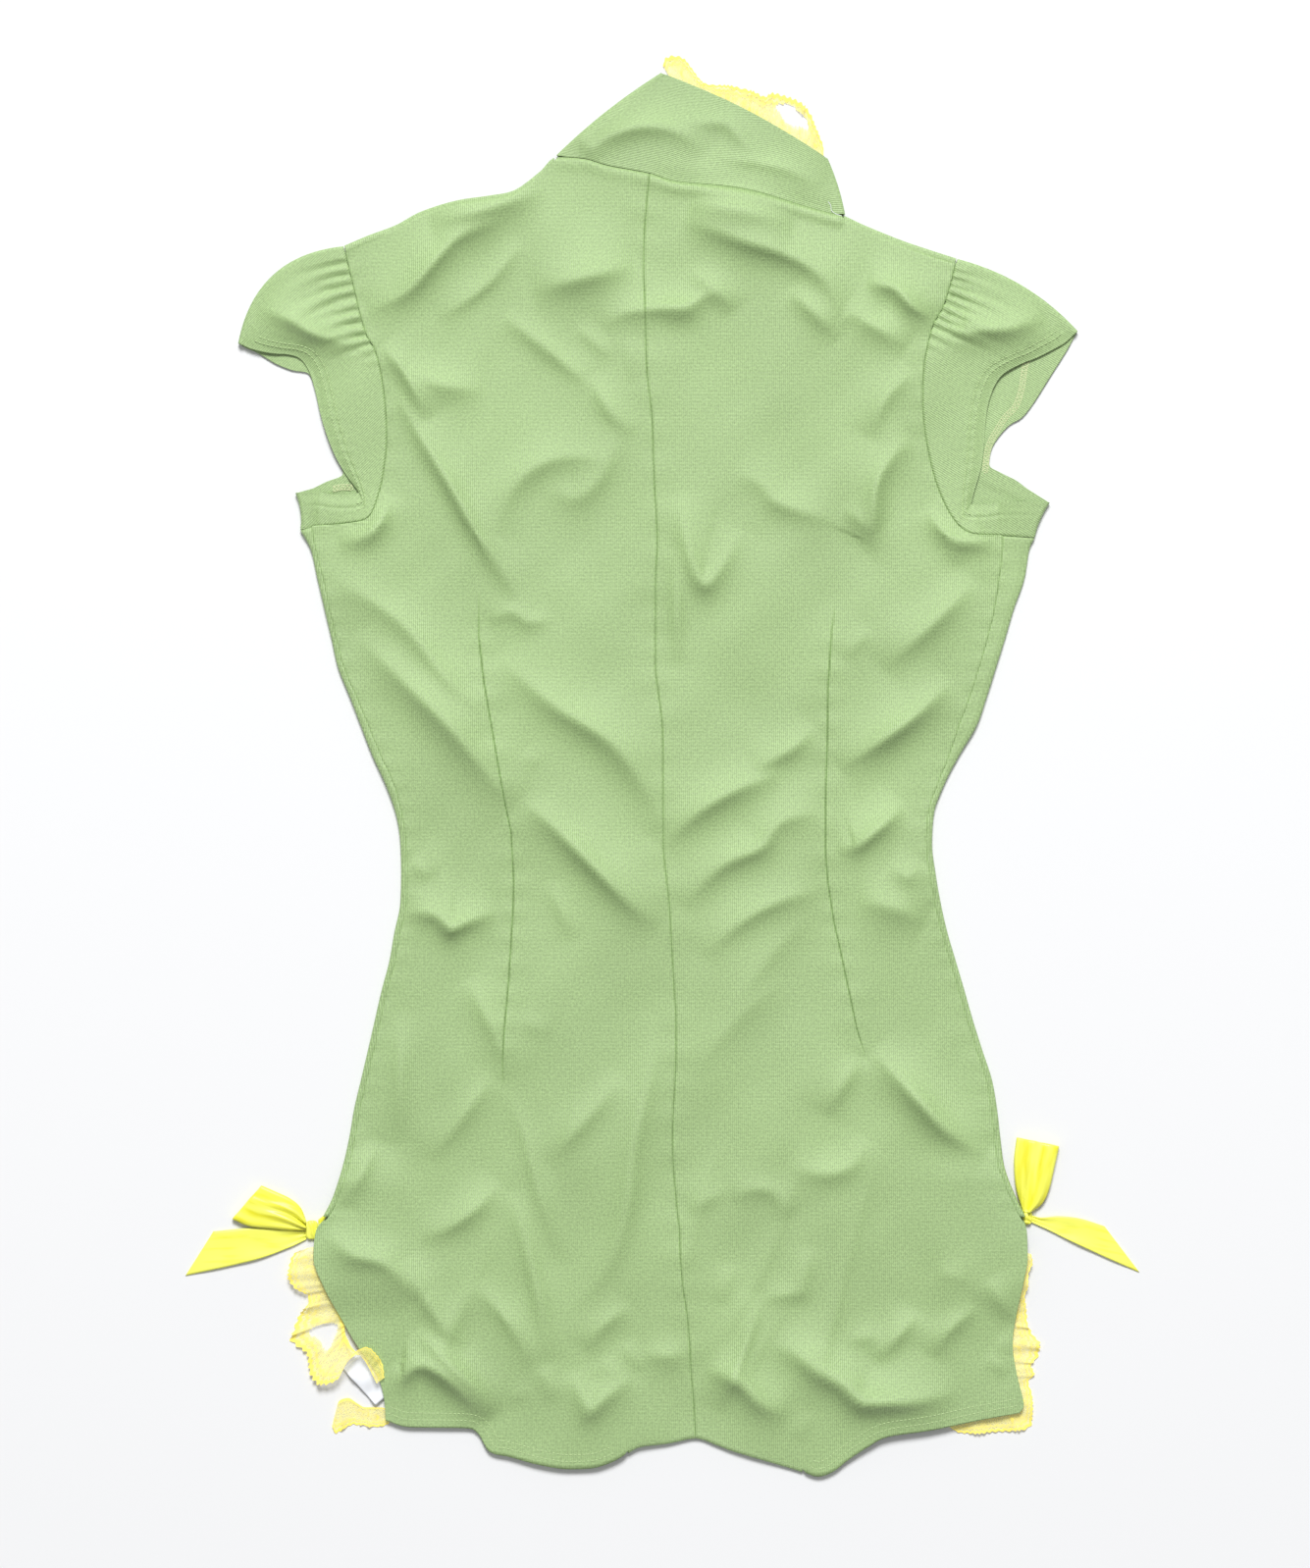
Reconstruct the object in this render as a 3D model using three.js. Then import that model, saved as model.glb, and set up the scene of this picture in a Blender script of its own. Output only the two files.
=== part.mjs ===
import * as THREE from 'three';

// A knit romper laid flat on a table, back up: cap sleeves, stand collar, short legs with side slits.
// X runs across it, Y up towards the collar and Z up from the table; the origin is the middle of its footprint.

// Driving sizes, in millimetres
const KNIT = 1.2;
const COLLAR_CLOTH = 1.4;
const RIBBON = 1.0;
const LACE = 1.0;
const SATIN = 1.0;
const SEAM_GAP = 0.3;
const UNDERARM_ROOM = 0.1; // extra room where the underarm seam turns over the side
const UPPER_LEVEL = 3.8; // middle of the upper layer where it lies flat
const BETWEEN_LEVEL = 2.25; // middle of what lies between the two layers
const ROLL = 1.7; // how far in a rolled edge reaches, seen from above
const BOW_LIFT = 3.2; // how much a hidden half bow lifts the cloth over it
const LIFT_FADE = 28; // distance over which that lift dies away
const FRONT_NECK_DROP = 38;
const FRONT_HEM_RISE = 3;
const SEAM_START = 4; // a shoulder seam starts this far from the neck point
const COLLAR_BULGE = 3.5;
const UNDERARM_STEP = 2.5; // centre line spacing of the rows that end under the arm
const COLUMN_CROWDING = 0.8; // below 1 the columns stand closer together towards the side
const LEG_ROWS = 3;

const KNIT_GREEN = 0xaac987;
const RIBBON_YELLOW = 0xf7fa72;
const LACE_YELLOW = 0xf6ec7c;
const LABEL_WHITE = 0xf4f5f8;

// A table is a list of rows with named columns.
function table(columns, rows) {
  return rows.map((row) => Object.fromEntries(columns.map((name, place) => [name, row[place]])));
}

const at = (x, y) => new THREE.Vector2(x, y);
const point = (row) => at(row.x, row.y);

// Neck and shoulder line of the back, from the left shoulder tip to the right one
const TOP_LINE = table(['x', 'y'], [
  [-186, 304], [-172, 310], [-156, 316], [-141, 324], [-121, 330], [-101, 333], [-87, 336], [-72, 347],
  [-61.5, 356], [-46, 355], [-32, 351], [-8, 346.5], [6, 342], [24, 340], [42, 338], [59, 334.5], [81, 328],
  [99, 323], [106, 321.5], [118, 316], [139, 307.5], [158, 301], [172, 296.5],
]);
const LEFT_NECK_POINT = -61.5;
const RIGHT_NECK_POINT = 106;

// Hem line of the back, from the left slit over the crotch to the right slit
const HEM_LINE = table(['x', 'y'], [
  [-162, -383.5], [-147, -387.5], [-115, -388], [-108, -391], [-101, -402], [-89, -405], [-72, -409.5],
  [-55, -412], [-42, -411.5], [-30, -408], [-20, -402.5], [-13, -399], [3, -397], [19.5, -394], [32, -398],
  [43, -402], [72, -410.5], [83, -414], [91, -417.2], [100, -413.5], [109, -406.5], [121, -398.5], [132, -393],
  [158, -389], [187, -383], [209, -379],
]);
const CROTCH = at(19.5, -394);
const LEFT_INSEAM_END = -22;
const RIGHT_INSEAM_END = 82;

// Centre back seam from the nape to the top of the trunk
const NAPE_SEAM = table(['x', 'y'], [
  [-7.5, 346.3], [-10, 319], [-11, 296], [-10, 265], [-9, 230], [-6, 204], [-5, 172.5], [-3, 126.5],
]);

// The trunk at each height: both outline edges, both side seams on the upper face, and the centre seam
const TRUNK = table(['y', 'leftEdge', 'leftSeam', 'centre', 'rightSeam', 'rightEdge'], [
  [126.5, -206, -203, -3, 199, 215],
  [109, -202, -198.5, -4, 197, 212],
  [92, -198, -195, -4, 194.5, 206],
  [75, -194, -191, -4, 190.5, 201],
  [57.5, -190, -186.5, -4, 185.5, 195.5],
  [40, -183, -179, -2, 180, 190],
  [23, -176.5, -172, 0, 173.5, 184],
  [6, -170, -165, 0.5, 168, 174],
  [-11.5, -162, -157, 0.5, 161, 165],
  [-29, -156, -152.5, 0.5, 155.5, 159],
  [-46, -153.5, -150, 0.5, 154.5, 158],
  [-63, -153, -149.5, 2, 156.5, 160],
  [-80.5, -153.5, -150, 4, 159.5, 163],
  [-98, -157, -153.5, 5, 163.5, 167],
  [-115, -160, -156.5, 6, 168.5, 172],
  [-132, -164.5, -161, 7, 173.5, 177],
  [-149.5, -168.5, -165, 8, 178.5, 182],
  [-167, -172.5, -169, 8, 184, 187.5],
  [-184, -176.5, -173, 7.5, 189.5, 193],
  [-201, -180.5, -177, 6.5, 192.5, 196],
  [-218.5, -183.5, -180, 6, 194.5, 198],
  [-236, -187.5, -184, 6.5, 197, 200.5],
  [-253, -193, -189.5, 8, 203.5, 207],
  [-264, -198.5, -195, 9, 209, 212.5],
]);

// Below the slit tops the back and the front have free edges, one slit down each side.
const SLIT = table(['y', 'left', 'centre', 'right'], [
  [-272, -202.5, 10, 213],
  [-287.5, -204, 10.5, 213.5],
  [-305, -198, 12, 210.5],
  [-322, -189, 14.5, 207],
  [-339, -179, 16, 205],
  [-356.5, -167, 17, 207.5],
  [-374, -162.5, 18.5, 211.5],
]);

// Armhole seam of the upper layer, shoulder tip first, then the sleeve hem opposite each of its points,
// and how far the sleeve's outline bulges past the straight line between the two
const SLEEVE_COLUMNS = ['seamX', 'seamY', 'hemX', 'hemY', 'bulge'];
const LEFT_SLEEVE_UPPER = table(SLEEVE_COLUMNS, [
  [-186, 304, -248, 247, 16],
  [-183, 290, -240, 243.5, 12],
  [-180, 278, -229, 241.2, 8],
  [-177, 265, -219, 240.5, 5],
  [-173, 252, -212, 238, 2],
  [-168, 243, -207, 231, 0],
  [-164.5, 230, -203.5, 220, 0],
  [-162, 212, -200, 205, 0],
  [-161, 192, -196, 192, 0],
  [-162.5, 175, -191, 180, 0],
  [-166, 158, -184, 168.5, 0],
  [-173, 144, -177.5, 160, 0],
  [-188, 141, -189, 158.5, 0],
  [-205, 139.5, -204, 160.5, 0],
]);
const LEFT_UNDERARM_FOLD = table(SLEEVE_COLUMNS, [[-212, 137.5, -214.5, 159.5, 1.5]])[0];
const LEFT_SLEEVE_LOWER = table(SLEEVE_COLUMNS, [
  [-186, 304, -248, 247, 16],
  [-184, 291, -244, 244.5, 13],
  [-182, 280, -238, 242, 9],
  [-179, 268, -232, 238.5, 6],
  [-175, 256, -226, 235, 3],
  [-171, 243, -217, 231.5, 0],
  [-168, 226, -208, 230, 0],
  [-165, 206, -203, 219, 0],
  [-164, 186, -199, 206, 0],
  [-165, 168, -195, 192, 0],
  [-168, 153, -191, 181, 0],
  [-175, 142.5, -187, 171, 0],
  [-188, 140.8, -197, 166, 0],
  [-205, 139.5, -206, 161.5, 0],
]);
const RIGHT_SLEEVE_UPPER = table(SLEEVE_COLUMNS, [
  [172, 296.5, 243, 254, 6.5],
  [169.5, 286, 236, 247.5, 5],
  [167, 277, 228, 243, 3],
  [163.5, 267, 219, 238.5, 1],
  [158.5, 258.5, 210, 235, 0],
  [155.5, 248, 199.5, 229, 0],
  [153, 235, 194, 221, 0],
  [152, 217, 190.5, 210, 0],
  [153, 199, 189, 198, 0],
  [156, 181, 188, 184, 0],
  [160.5, 164, 186, 172, 0],
  [167, 149, 183, 162, 0],
  [175, 138.5, 180.5, 153, 0],
  [185, 134.7, 189, 153, 0],
  [199, 134.3, 200, 155, 0],
]);
const RIGHT_UNDERARM_FOLD = table(SLEEVE_COLUMNS, [[218, 133, 226.5, 154, 1]])[0];
const RIGHT_SLEEVE_LOWER = table(SLEEVE_COLUMNS, [
  [172, 296.5, 243, 254, 6.5],
  [169.5, 287, 241, 250.5, 5],
  [167, 278, 237.5, 244, 3],
  [163, 268, 233.5, 237.5, 1],
  [158.5, 259, 229, 230.5, 0],
  [155, 248, 224, 222.5, 0],
  [152, 234, 218, 213, 0],
  [151, 216, 211, 204, 0],
  [151.5, 198, 203, 199, 0],
  [154, 180, 196, 191, 0],
  [158, 162, 192.5, 184, 0],
  [164, 146, 191.5, 176, 0],
  [173, 138, 198, 171.5, 0],
  [186, 135.8, 207, 167, 0],
  [199, 134.3, 215, 161, 0],
]);

// Largest folds: where the crest starts and ends, left end first, how far it bows up, its height,
// and its width on the side above and on the steeper side below
const FOLDS = table(['fromX', 'fromY', 'toX', 'toY', 'bow', 'height', 'above', 'below'], [
  [-150, 306, -60, 334, 3, 3, 16, 7],
  [-176, 266, -86, 321, 1, 3.5, 10, 5],
  [-76, 276, -12, 293, 0, 2.5, 16, 8],
  [-36, 256, 44, 268, 5, 3, 12, 6],
  [-162, 222, -78, 90, 2, 4, 14, 7],
  [10, 324, 103, 260, 8, 4, 18, 8],
  [116, 282, 160, 260, 3, 3.5, 8, 5],
  [72, 279, 102, 250, 2, 2, 9, 5],
  [126, 132, 150, 190, 0, 2.5, 8, 6],
  [38, 171, 102, 141, -3, 2.5, 12, 6],
  [158, 130, 200, 125, -6, 2.5, 5, 5],
  [-200, 100, -98, 12, 4, 5, 16, 9],
  [-102, 64, -2, -36, 6, 4, 18, 9],
  [-88, -18, -2, -94, 2, 4.5, 12, 6],
  [-154, -85, -94, -85, -7, 4, 8, 5],
  [104, -2, 175, 52, -3, 4.5, 10, 6],
  [130, 56, 190, 108, -2, 3.5, 12, 7],
  [2, -48, 74, -4, 5, 3.5, 12, 6],
  [12, -82, 97, -27, 4, 3.5, 12, 6],
  [24, -111, 97, -73, 6, 3, 12, 6],
  [98, -48, 146, -21, -4, 4, 8, 5],
  [108, -80, 156, -94, 0, 3, 14, 8],
  [-57, -326, 1, -143, -12, 3, 9, 7],
  [-202, -271, -145, -312, 5, 3, 8, 5],
  [-157, -288, -113, -338, -3, 3.5, 9, 5],
  [-163, -350, -104, -381, 7, 4.5, 8, 5],
  [-92, -250, -69, -351, 0, 2.5, 7, 5],
  [-60, -352, -12, -355, -22, 3, 8, 5],
  [117, -168, 189, -229, 3, 5, 10, 5],
  [98, -205, 121, -170, 0, 2.5, 8, 6],
  [58, -336, 178, -368, -14, 6, 12, 6],
  [124, -348, 154, -320, 2, 3, 8, 5],
  [34, -380, 61, -310, 0, 3, 6, 5],
  [22, -350, 74, -381, 3, 4, 8, 5],
]);

// Where a hidden half bow lies under the front
const HIDDEN_BOWS = table(['lowX', 'lowY', 'highX', 'highY'], [
  [-215, -300, -165, -250],
  [170, -300, 225, -245],
]);

// Height of all folds together at a place
function foldHeight(x, y) {
  let sum = 0;
  for (const fold of FOLDS) {
    const reach = at(fold.toX - fold.fromX, fold.toY - fold.fromY);
    const length = reach.length();
    const along = ((x - fold.fromX) * reach.x + (y - fold.fromY) * reach.y) / length / length;
    if (along <= 0 || along >= 1) continue;
    const sideways = ((y - fold.fromY) * reach.x - (x - fold.fromX) * reach.y) / length;
    const across = sideways - fold.bow * 4 * along * (1 - along);
    const width = across > 0 ? fold.above : fold.below;
    sum += fold.height * Math.sin(Math.PI * along) ** 0.8 * Math.exp(-((across / width) ** 2));
  }
  return sum;
}

// How much the hidden half bows lift the cloth at a place
function lift(x, y) {
  let most = 0;
  for (const bow of HIDDEN_BOWS) {
    const besideX = Math.max(bow.lowX - x, 0, x - bow.highX);
    const besideY = Math.max(bow.lowY - y, 0, y - bow.highY);
    const away = Math.min(Math.hypot(besideX, besideY) / LIFT_FADE, 1);
    most = Math.max(most, BOW_LIFT * (0.5 + 0.5 * Math.cos(Math.PI * away)));
  }
  return most;
}

const upperZ = (x, y) => UPPER_LEVEL + foldHeight(x, y) + lift(x, y);
const lowerZ = (x, y) => KNIT / 2 + lift(x, y);
const betweenZ = (x, y) => BETWEEN_LEVEL + lift(x, y);

const mix = (from, to, share) => from + (to - from) * share;
const between = (from, to, share) => from.clone().lerp(to, share);
const raise = (plan, z) => new THREE.Vector3(plan.x, plan.y, z);

// Height of a line given by a table at one x
function lineY(rows, x) {
  const last = rows.length - 2;
  let place = rows.findIndex((row, k) => k > 0 && x <= row.x) - 1;
  if (place < 0) place = x < rows[0].x ? 0 : last;
  const from = rows[place];
  const to = rows[place + 1];
  return mix(from.y, to.y, (x - from.x) / (to.x - from.x));
}

// Points spaced evenly along a smooth line through the given ones
function evenly(points, count) {
  return new THREE.SplineCurve(points).getSpacedPoints(count - 1);
}

// Points along a smooth line through the given ones, with as many between each two of them
function stepped(points, count) {
  return new THREE.SplineCurve(points).getPoints(count - 1);
}

// Row starts down the centre of a yoke: even at first, then close together where the rows end under the arm
function yokeCentre(points, rows, underarmRows) {
  const foot = points[points.length - 1];
  const close = [];
  for (let k = underarmRows; k >= 0; k--) close.push(at(foot.x, foot.y + k * UNDERARM_STEP));
  const upper = [...points.slice(0, -1), close[0]];
  return [...evenly(upper, rows - underarmRows), ...close.slice(1)];
}

// A line moved sideways by a distance, to the left of its own direction
function besideLine(points, distance) {
  const turned = (from, to) => at(from.y - to.y, to.x - from.x).normalize();
  return points.map((here, k) => {
    const before = k > 0 ? turned(points[k - 1], here) : null;
    const after = k < points.length - 1 ? turned(here, points[k + 1]) : null;
    const first = before || after;
    const second = after || before;
    const middle = first.clone().add(second).normalize();
    return here.clone().addScaledVector(middle, distance / Math.max(middle.dot(first), 0.5));
  });
}

// A sheet of plan points between four edge lines; head and foot run across it, near and far down it.
function sheet(head, foot, near, far, shares) {
  const last = near.length - 1;
  const fall = near[0].distanceTo(near[last]);
  return near.map((start, row) => {
    const down = near[0].distanceTo(start) / fall;
    return shares.map((share, column) => {
      const side = between(start, far[row], share);
      const ends = between(head[column], foot[column], down);
      const top = between(near[0], far[0], share);
      const bottom = between(near[last], far[last], share);
      return side.add(ends).sub(between(top, bottom, down));
    });
  });
}

// Closed wall of cloth round a grid of middle points; a grid place without a point, or a cell
// that the open test names, is left out.
function clothSolid(grid, thickness, options = {}) {
  const rows = grid.length;
  const columns = grid[0].length;
  const isOpen = options.open || (() => false);
  const cells = [];
  for (let row = 0; row < rows - 1; row++) {
    for (let column = 0; column < (options.ring ? columns : columns - 1); column++) {
      const next = (column + 1) % columns;
      const corners = [[row, column], [row, next], [row + 1, next], [row + 1, column]];
      const whole = corners.every(([r, c]) => grid[r][c]);
      if (whole && !isOpen(row, column)) cells.push(corners.map(([r, c]) => r * columns + c));
    }
  }
  const middle = (id) => grid[Math.floor(id / columns)][id % columns];
  const normals = new Map();
  for (const [a, b, c, d] of cells) {
    const first = middle(c).clone().sub(middle(a));
    const second = middle(d).clone().sub(middle(b));
    const normal = first.cross(second).normalize();
    for (const id of [a, b, c, d]) {
      if (!normals.has(id)) normals.set(id, new THREE.Vector3());
      normals.get(id).add(normal);
    }
  }
  const positions = [];
  const places = new Map();
  for (const [id, normal] of normals) {
    places.set(id, positions.length / 3);
    const shift = normal.normalize().multiplyScalar(thickness / 2);
    positions.push(...middle(id).clone().add(shift).toArray());
    positions.push(...middle(id).clone().sub(shift).toArray());
  }
  const outer = (id) => places.get(id);
  const inner = (id) => places.get(id) + 1;
  const directed = new Set();
  const faces = [];
  for (const cell of cells) {
    const [a, b, c, d] = cell;
    faces.push(outer(a), outer(b), outer(c), outer(a), outer(c), outer(d));
    faces.push(inner(a), inner(c), inner(b), inner(a), inner(d), inner(c));
    cell.forEach((id, k) => directed.add(id + '>' + cell[(k + 1) % 4]));
  }
  for (const cell of cells) {
    cell.forEach((from, k) => {
      const to = cell[(k + 1) % 4];
      if (directed.has(to + '>' + from)) return;
      faces.push(outer(to), outer(from), inner(from), outer(to), inner(from), inner(to));
    });
  }
  const geometry = new THREE.BufferGeometry();
  geometry.setAttribute('position', new THREE.Float32BufferAttribute(positions, 3));
  geometry.setIndex(faces);
  return geometry.toNonIndexed();
}

// Plan place and height share of one step round a rolled edge: turn 0 is its lower lip, 1 its upper lip
function rollStep(turn) {
  const angle = (turn - 0.5) * Math.PI;
  return { inward: ROLL * (1 - Math.cos(angle)), rise: (1 + Math.sin(angle)) / 2 };
}

const romper = new THREE.Group();

function addPiece(name, geometry, color, roughness) {
  geometry.computeVertexNormals();
  const material = new THREE.MeshStandardMaterial({ color, roughness, metalness: 0 });
  const mesh = new THREE.Mesh(geometry, material);
  mesh.name = name;
  romper.add(mesh);
}

// Both sides of the body share one set of functions; side is -1 for the left and 1 for the right.
const LEFT = -1;
const RIGHT = 1;
const SIDES = {
  [LEFT]: {
    name: 'left',
    neckPoint: LEFT_NECK_POINT,
    inseamEnd: LEFT_INSEAM_END,
    upper: LEFT_SLEEVE_UPPER,
    lower: LEFT_SLEEVE_LOWER,
    fold: LEFT_UNDERARM_FOLD,
    backColumns: { neck: 4, shoulder: 7 },
    frontColumns: { neck: 2, shoulder: 3 },
  },
  [RIGHT]: {
    name: 'right',
    neckPoint: RIGHT_NECK_POINT,
    inseamEnd: RIGHT_INSEAM_END,
    upper: RIGHT_SLEEVE_UPPER,
    lower: RIGHT_SLEEVE_LOWER,
    fold: RIGHT_UNDERARM_FOLD,
    backColumns: { neck: 7, shoulder: 4 },
    frontColumns: { neck: 3, shoulder: 2 },
  },
};

const seamPoint = (row) => at(row.seamX, row.seamY);
const hemPoint = (row) => at(row.hemX, row.hemY);

// Shares of the way from the centre line to the shoulder tip at which the columns of a panel stand
function columnShares(side, centreX, counts) {
  const facts = SIDES[side];
  const width = facts.upper[0].seamX - centreX;
  const neckShare = (facts.neckPoint - centreX) / width;
  const start = neckShare + (SEAM_START * side) / width;
  const shares = [];
  for (let k = 0; k <= counts.neck; k++) shares.push((neckShare * k) / counts.neck);
  for (let k = 0; k <= counts.shoulder; k++) shares.push(mix(start, 1, (k / counts.shoulder) ** COLUMN_CROWDING));
  return shares;
}

// Front neckline: the back's, dropped towards centre front
function frontNeckY(x) {
  const share = (x - LEFT_NECK_POINT) / (RIGHT_NECK_POINT - LEFT_NECK_POINT);
  const inside = share > 0 && share < 1;
  return lineY(TOP_LINE, x) - (inside ? FRONT_NECK_DROP * Math.sin(Math.PI * share) : 0);
}

// Rows of a panel: sheet rows from the neck down to the trunk, the trunk and slit rows, and the leg rows
function panelRows(head, yokeNear, yokeFar, trunkNear, trunkFar, foot, shares) {
  const trunkTop = shares.map((share) => between(trunkNear[0], trunkFar[0], share));
  const yoke = sheet(head, trunkTop, yokeNear, yokeFar, shares);
  const straight = trunkNear.length - LEG_ROWS;
  const trunk = [];
  for (let k = 1; k < straight; k++) {
    trunk.push(shares.map((share) => between(trunkNear[k], trunkFar[k], share)));
  }
  const legTop = trunk[trunk.length - 1];
  const near = [...trunkNear.slice(straight - 1), foot[0]];
  const far = [...trunkFar.slice(straight - 1), foot[foot.length - 1]];
  const leg = sheet(legTop, foot, near, far, shares).slice(1);
  return [...yoke, ...trunk, ...leg];
}

// Rows that roll a free row of columns over its outline: from the plan row, towards its neighbour row
function rollRows(outline, neighbour, chosen, lowZ, highZ, turns) {
  return turns.map((turn) => {
    const step = rollStep(turn);
    return outline.map((here, column) => {
      if (!chosen(column)) return null;
      const inward = neighbour[column].clone().sub(here).normalize();
      const plan = here.clone().addScaledVector(inward, step.inward);
      return raise(plan, mix(lowZ(plan.x, plan.y), highZ(plan.x, plan.y), step.rise));
    });
  });
}

// The outline row itself, moved in where it is rolled
function lipRow(outline, neighbour, chosen, height) {
  return outline.map((here, column) => {
    const plan = here.clone();
    if (chosen(column)) {
      plan.addScaledVector(neighbour[column].clone().sub(here).normalize(), ROLL);
    }
    return raise(plan, height(plan.x, plan.y));
  });
}

// The lips of a seam on a rolled edge stop this far short of its middle, so that their corners clear.
const SEAM_TURN = 0.065;
const LOWER_TURNS = [0.5 - SEAM_TURN, 0.38, 0.2];
const UPPER_TURNS = [0.5 + SEAM_TURN, 0.62, 0.8];

function backPanel(side) {
  const facts = SIDES[side];
  const centreX = NAPE_SEAM[0].x;
  const shares = columnShares(side, centreX, facts.backColumns);
  const tip = seamPoint(facts.upper[0]);
  const seam = side === LEFT ? 'leftSeam' : 'rightSeam';
  const slitEdge = facts.name;
  const aside = (SEAM_GAP / 2) * side;
  const head = shares.map((share) => {
    const x = mix(centreX, tip.x, share);
    return at(x, lineY(TOP_LINE, x));
  });
  const yokeFar = [...facts.upper.map(seamPoint), at(TRUNK[0][seam] - aside, TRUNK[0].y)];
  const centre = yokeCentre(NAPE_SEAM.map(point), yokeFar.length, 3);
  const yokeNear = centre.map((p) => at(p.x + aside, p.y));
  yokeNear[0].y = head[0].y;
  const trunkNear = [...TRUNK, ...SLIT].map((row) => at(row.centre + aside, row.y));
  const trunkFar = [
    ...TRUNK.map((row) => at(row[seam] - aside, row.y)),
    ...SLIT.map((row) => at(row[slitEdge], row.y)),
  ];
  const corner = side === LEFT ? HEM_LINE[0] : HEM_LINE[HEM_LINE.length - 1];
  const foot = shares.map((share) => {
    const x = mix(CROTCH.x + aside, corner.x, share);
    return at(x, lineY(HEM_LINE, x));
  });
  head[0].x += aside;
  const rows = panelRows(head, yokeNear, yokeFar, trunkNear, trunkFar, foot, shares);
  const onShoulder = (column) => column > facts.backColumns.neck;
  const onInseam = (column) => (facts.inseamEnd - foot[column].x) * side >= 0;
  const last = rows.length - 1;
  const top = rollRows(rows[0], rows[1], onShoulder, lowerZ, upperZ, UPPER_TURNS);
  const bottom = rollRows(rows[last], rows[last - 1], onInseam, lowerZ, upperZ, UPPER_TURNS);
  const grid = [
    ...top,
    lipRow(rows[0], rows[1], onShoulder, upperZ),
    ...rows.slice(1, last).map((row) => row.map((plan) => raise(plan, upperZ(plan.x, plan.y)))),
    lipRow(rows[last], rows[last - 1], onInseam, upperZ),
    ...bottom.reverse(),
  ];
  addPiece('back_' + facts.name, clothSolid(turned(grid, side), KNIT), KNIT_GREEN, 0.75);
}

// Columns are turned round on the right, so that every grid is wound the same way.
function turned(grid, side) {
  return side === LEFT ? grid : grid.map((row) => [...row].reverse());
}

// Rolled strip of a front panel at one level: from the table over the outline to the side seam
const STRIP_TURNS = [0.25, 0.5, 0.75, 1];
const STRIP_SHARES = [0.5, 1];
function stripPoints(edge, seam) {
  const inward = seam.clone().sub(edge).normalize();
  const points = STRIP_TURNS.map((turn) => {
    const step = rollStep(turn);
    const plan = edge.clone().addScaledVector(inward, step.inward);
    return raise(plan, mix(lowerZ(plan.x, plan.y), upperZ(plan.x, plan.y), step.rise));
  });
  const lip = edge.clone().addScaledVector(inward, ROLL);
  for (const share of STRIP_SHARES) {
    const plan = between(lip, seam, share);
    points.push(raise(plan, upperZ(plan.x, plan.y)));
  }
  return points;
}

function frontPanel(side) {
  const facts = SIDES[side];
  const centreX = mix(LEFT_NECK_POINT, RIGHT_NECK_POINT, 0.5);
  const shares = columnShares(side, centreX, facts.frontColumns);
  const tip = seamPoint(facts.lower[0]);
  const edgeName = side === LEFT ? 'leftEdge' : 'rightEdge';
  const seamName = side === LEFT ? 'leftSeam' : 'rightSeam';
  const aside = (SEAM_GAP / 2) * side;
  const inset = (KNIT / 2) * side;
  const head = shares.map((share) => {
    const x = mix(centreX, tip.x, share);
    return at(x, frontNeckY(x));
  });
  head[0].x += aside;
  const underarmEdge = at(facts.fold.seamX - inset, facts.fold.seamY);
  const lastUpper = facts.upper[facts.upper.length - 1];
  const underarmSeam = at(lastUpper.seamX + 2 * aside, lastUpper.seamY - UNDERARM_ROOM);
  const levels = [
    { edge: underarmEdge, seam: underarmSeam },
    ...TRUNK.map((row) => ({
      edge: at(row[edgeName] - inset, row.y),
      seam: at(row[seamName] + aside, row.y),
    })),
  ];
  const strips = levels.map((level) => stripPoints(level.edge, level.seam));
  const flatEnds = levels.map((level) => {
    const inward = level.seam.clone().sub(level.edge).normalize();
    return level.edge.clone().addScaledVector(inward, ROLL);
  });
  const yokeFar = [...facts.lower.map(seamPoint), flatEnds[0], flatEnds[1]];
  const centre = [head[0], at(TRUNK[0].centre + aside, TRUNK[0].y)];
  const yokeNear = yokeCentre(centre, yokeFar.length, 4);
  const trunkNear = [...TRUNK, ...SLIT].map((row) => at(row.centre + aside, row.y));
  const trunkFar = [...flatEnds.slice(1), ...SLIT.map((row) => at(row[facts.name], row.y))];
  const corner = side === LEFT ? HEM_LINE[0] : HEM_LINE[HEM_LINE.length - 1];
  const foot = shares.map((share) => {
    const x = mix(CROTCH.x + aside, corner.x, share);
    const onLeg = (x - facts.inseamEnd) * side > 0;
    return at(x, lineY(HEM_LINE, x) + (onLeg ? FRONT_HEM_RISE : 0));
  });
  const rows = panelRows(head, yokeNear, yokeFar, trunkNear, trunkFar, foot, shares);
  const onShoulder = (column) => column > facts.frontColumns.neck;
  const onInseam = (column) => (facts.inseamEnd - foot[column].x) * side >= 0;
  const last = rows.length - 1;
  const noStrip = strips[0].map(() => null);
  const firstStrip = facts.lower.length;
  const withStrip = (row, k) => [...row, ...(strips[k - firstStrip] || noStrip)];
  const flat = rows.slice(1, last).map((row, k) => {
    return withStrip(row.map((plan) => raise(plan, lowerZ(plan.x, plan.y))), k + 1);
  });
  const plain = (row) => [...row, ...noStrip];
  const top = rollRows(rows[0], rows[1], onShoulder, lowerZ, upperZ, LOWER_TURNS);
  const bottom = rollRows(rows[last], rows[last - 1], onInseam, lowerZ, upperZ, LOWER_TURNS);
  const grid = [
    ...top.map(plain),
    plain(lipRow(rows[0], rows[1], onShoulder, lowerZ)),
    ...flat,
    plain(lipRow(rows[last], rows[last - 1], onInseam, lowerZ)),
    ...bottom.reverse().map(plain),
  ];
  addPiece('front_' + facts.name, clothSolid(turned(grid, side), KNIT), KNIT_GREEN, 0.75);
}

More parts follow.
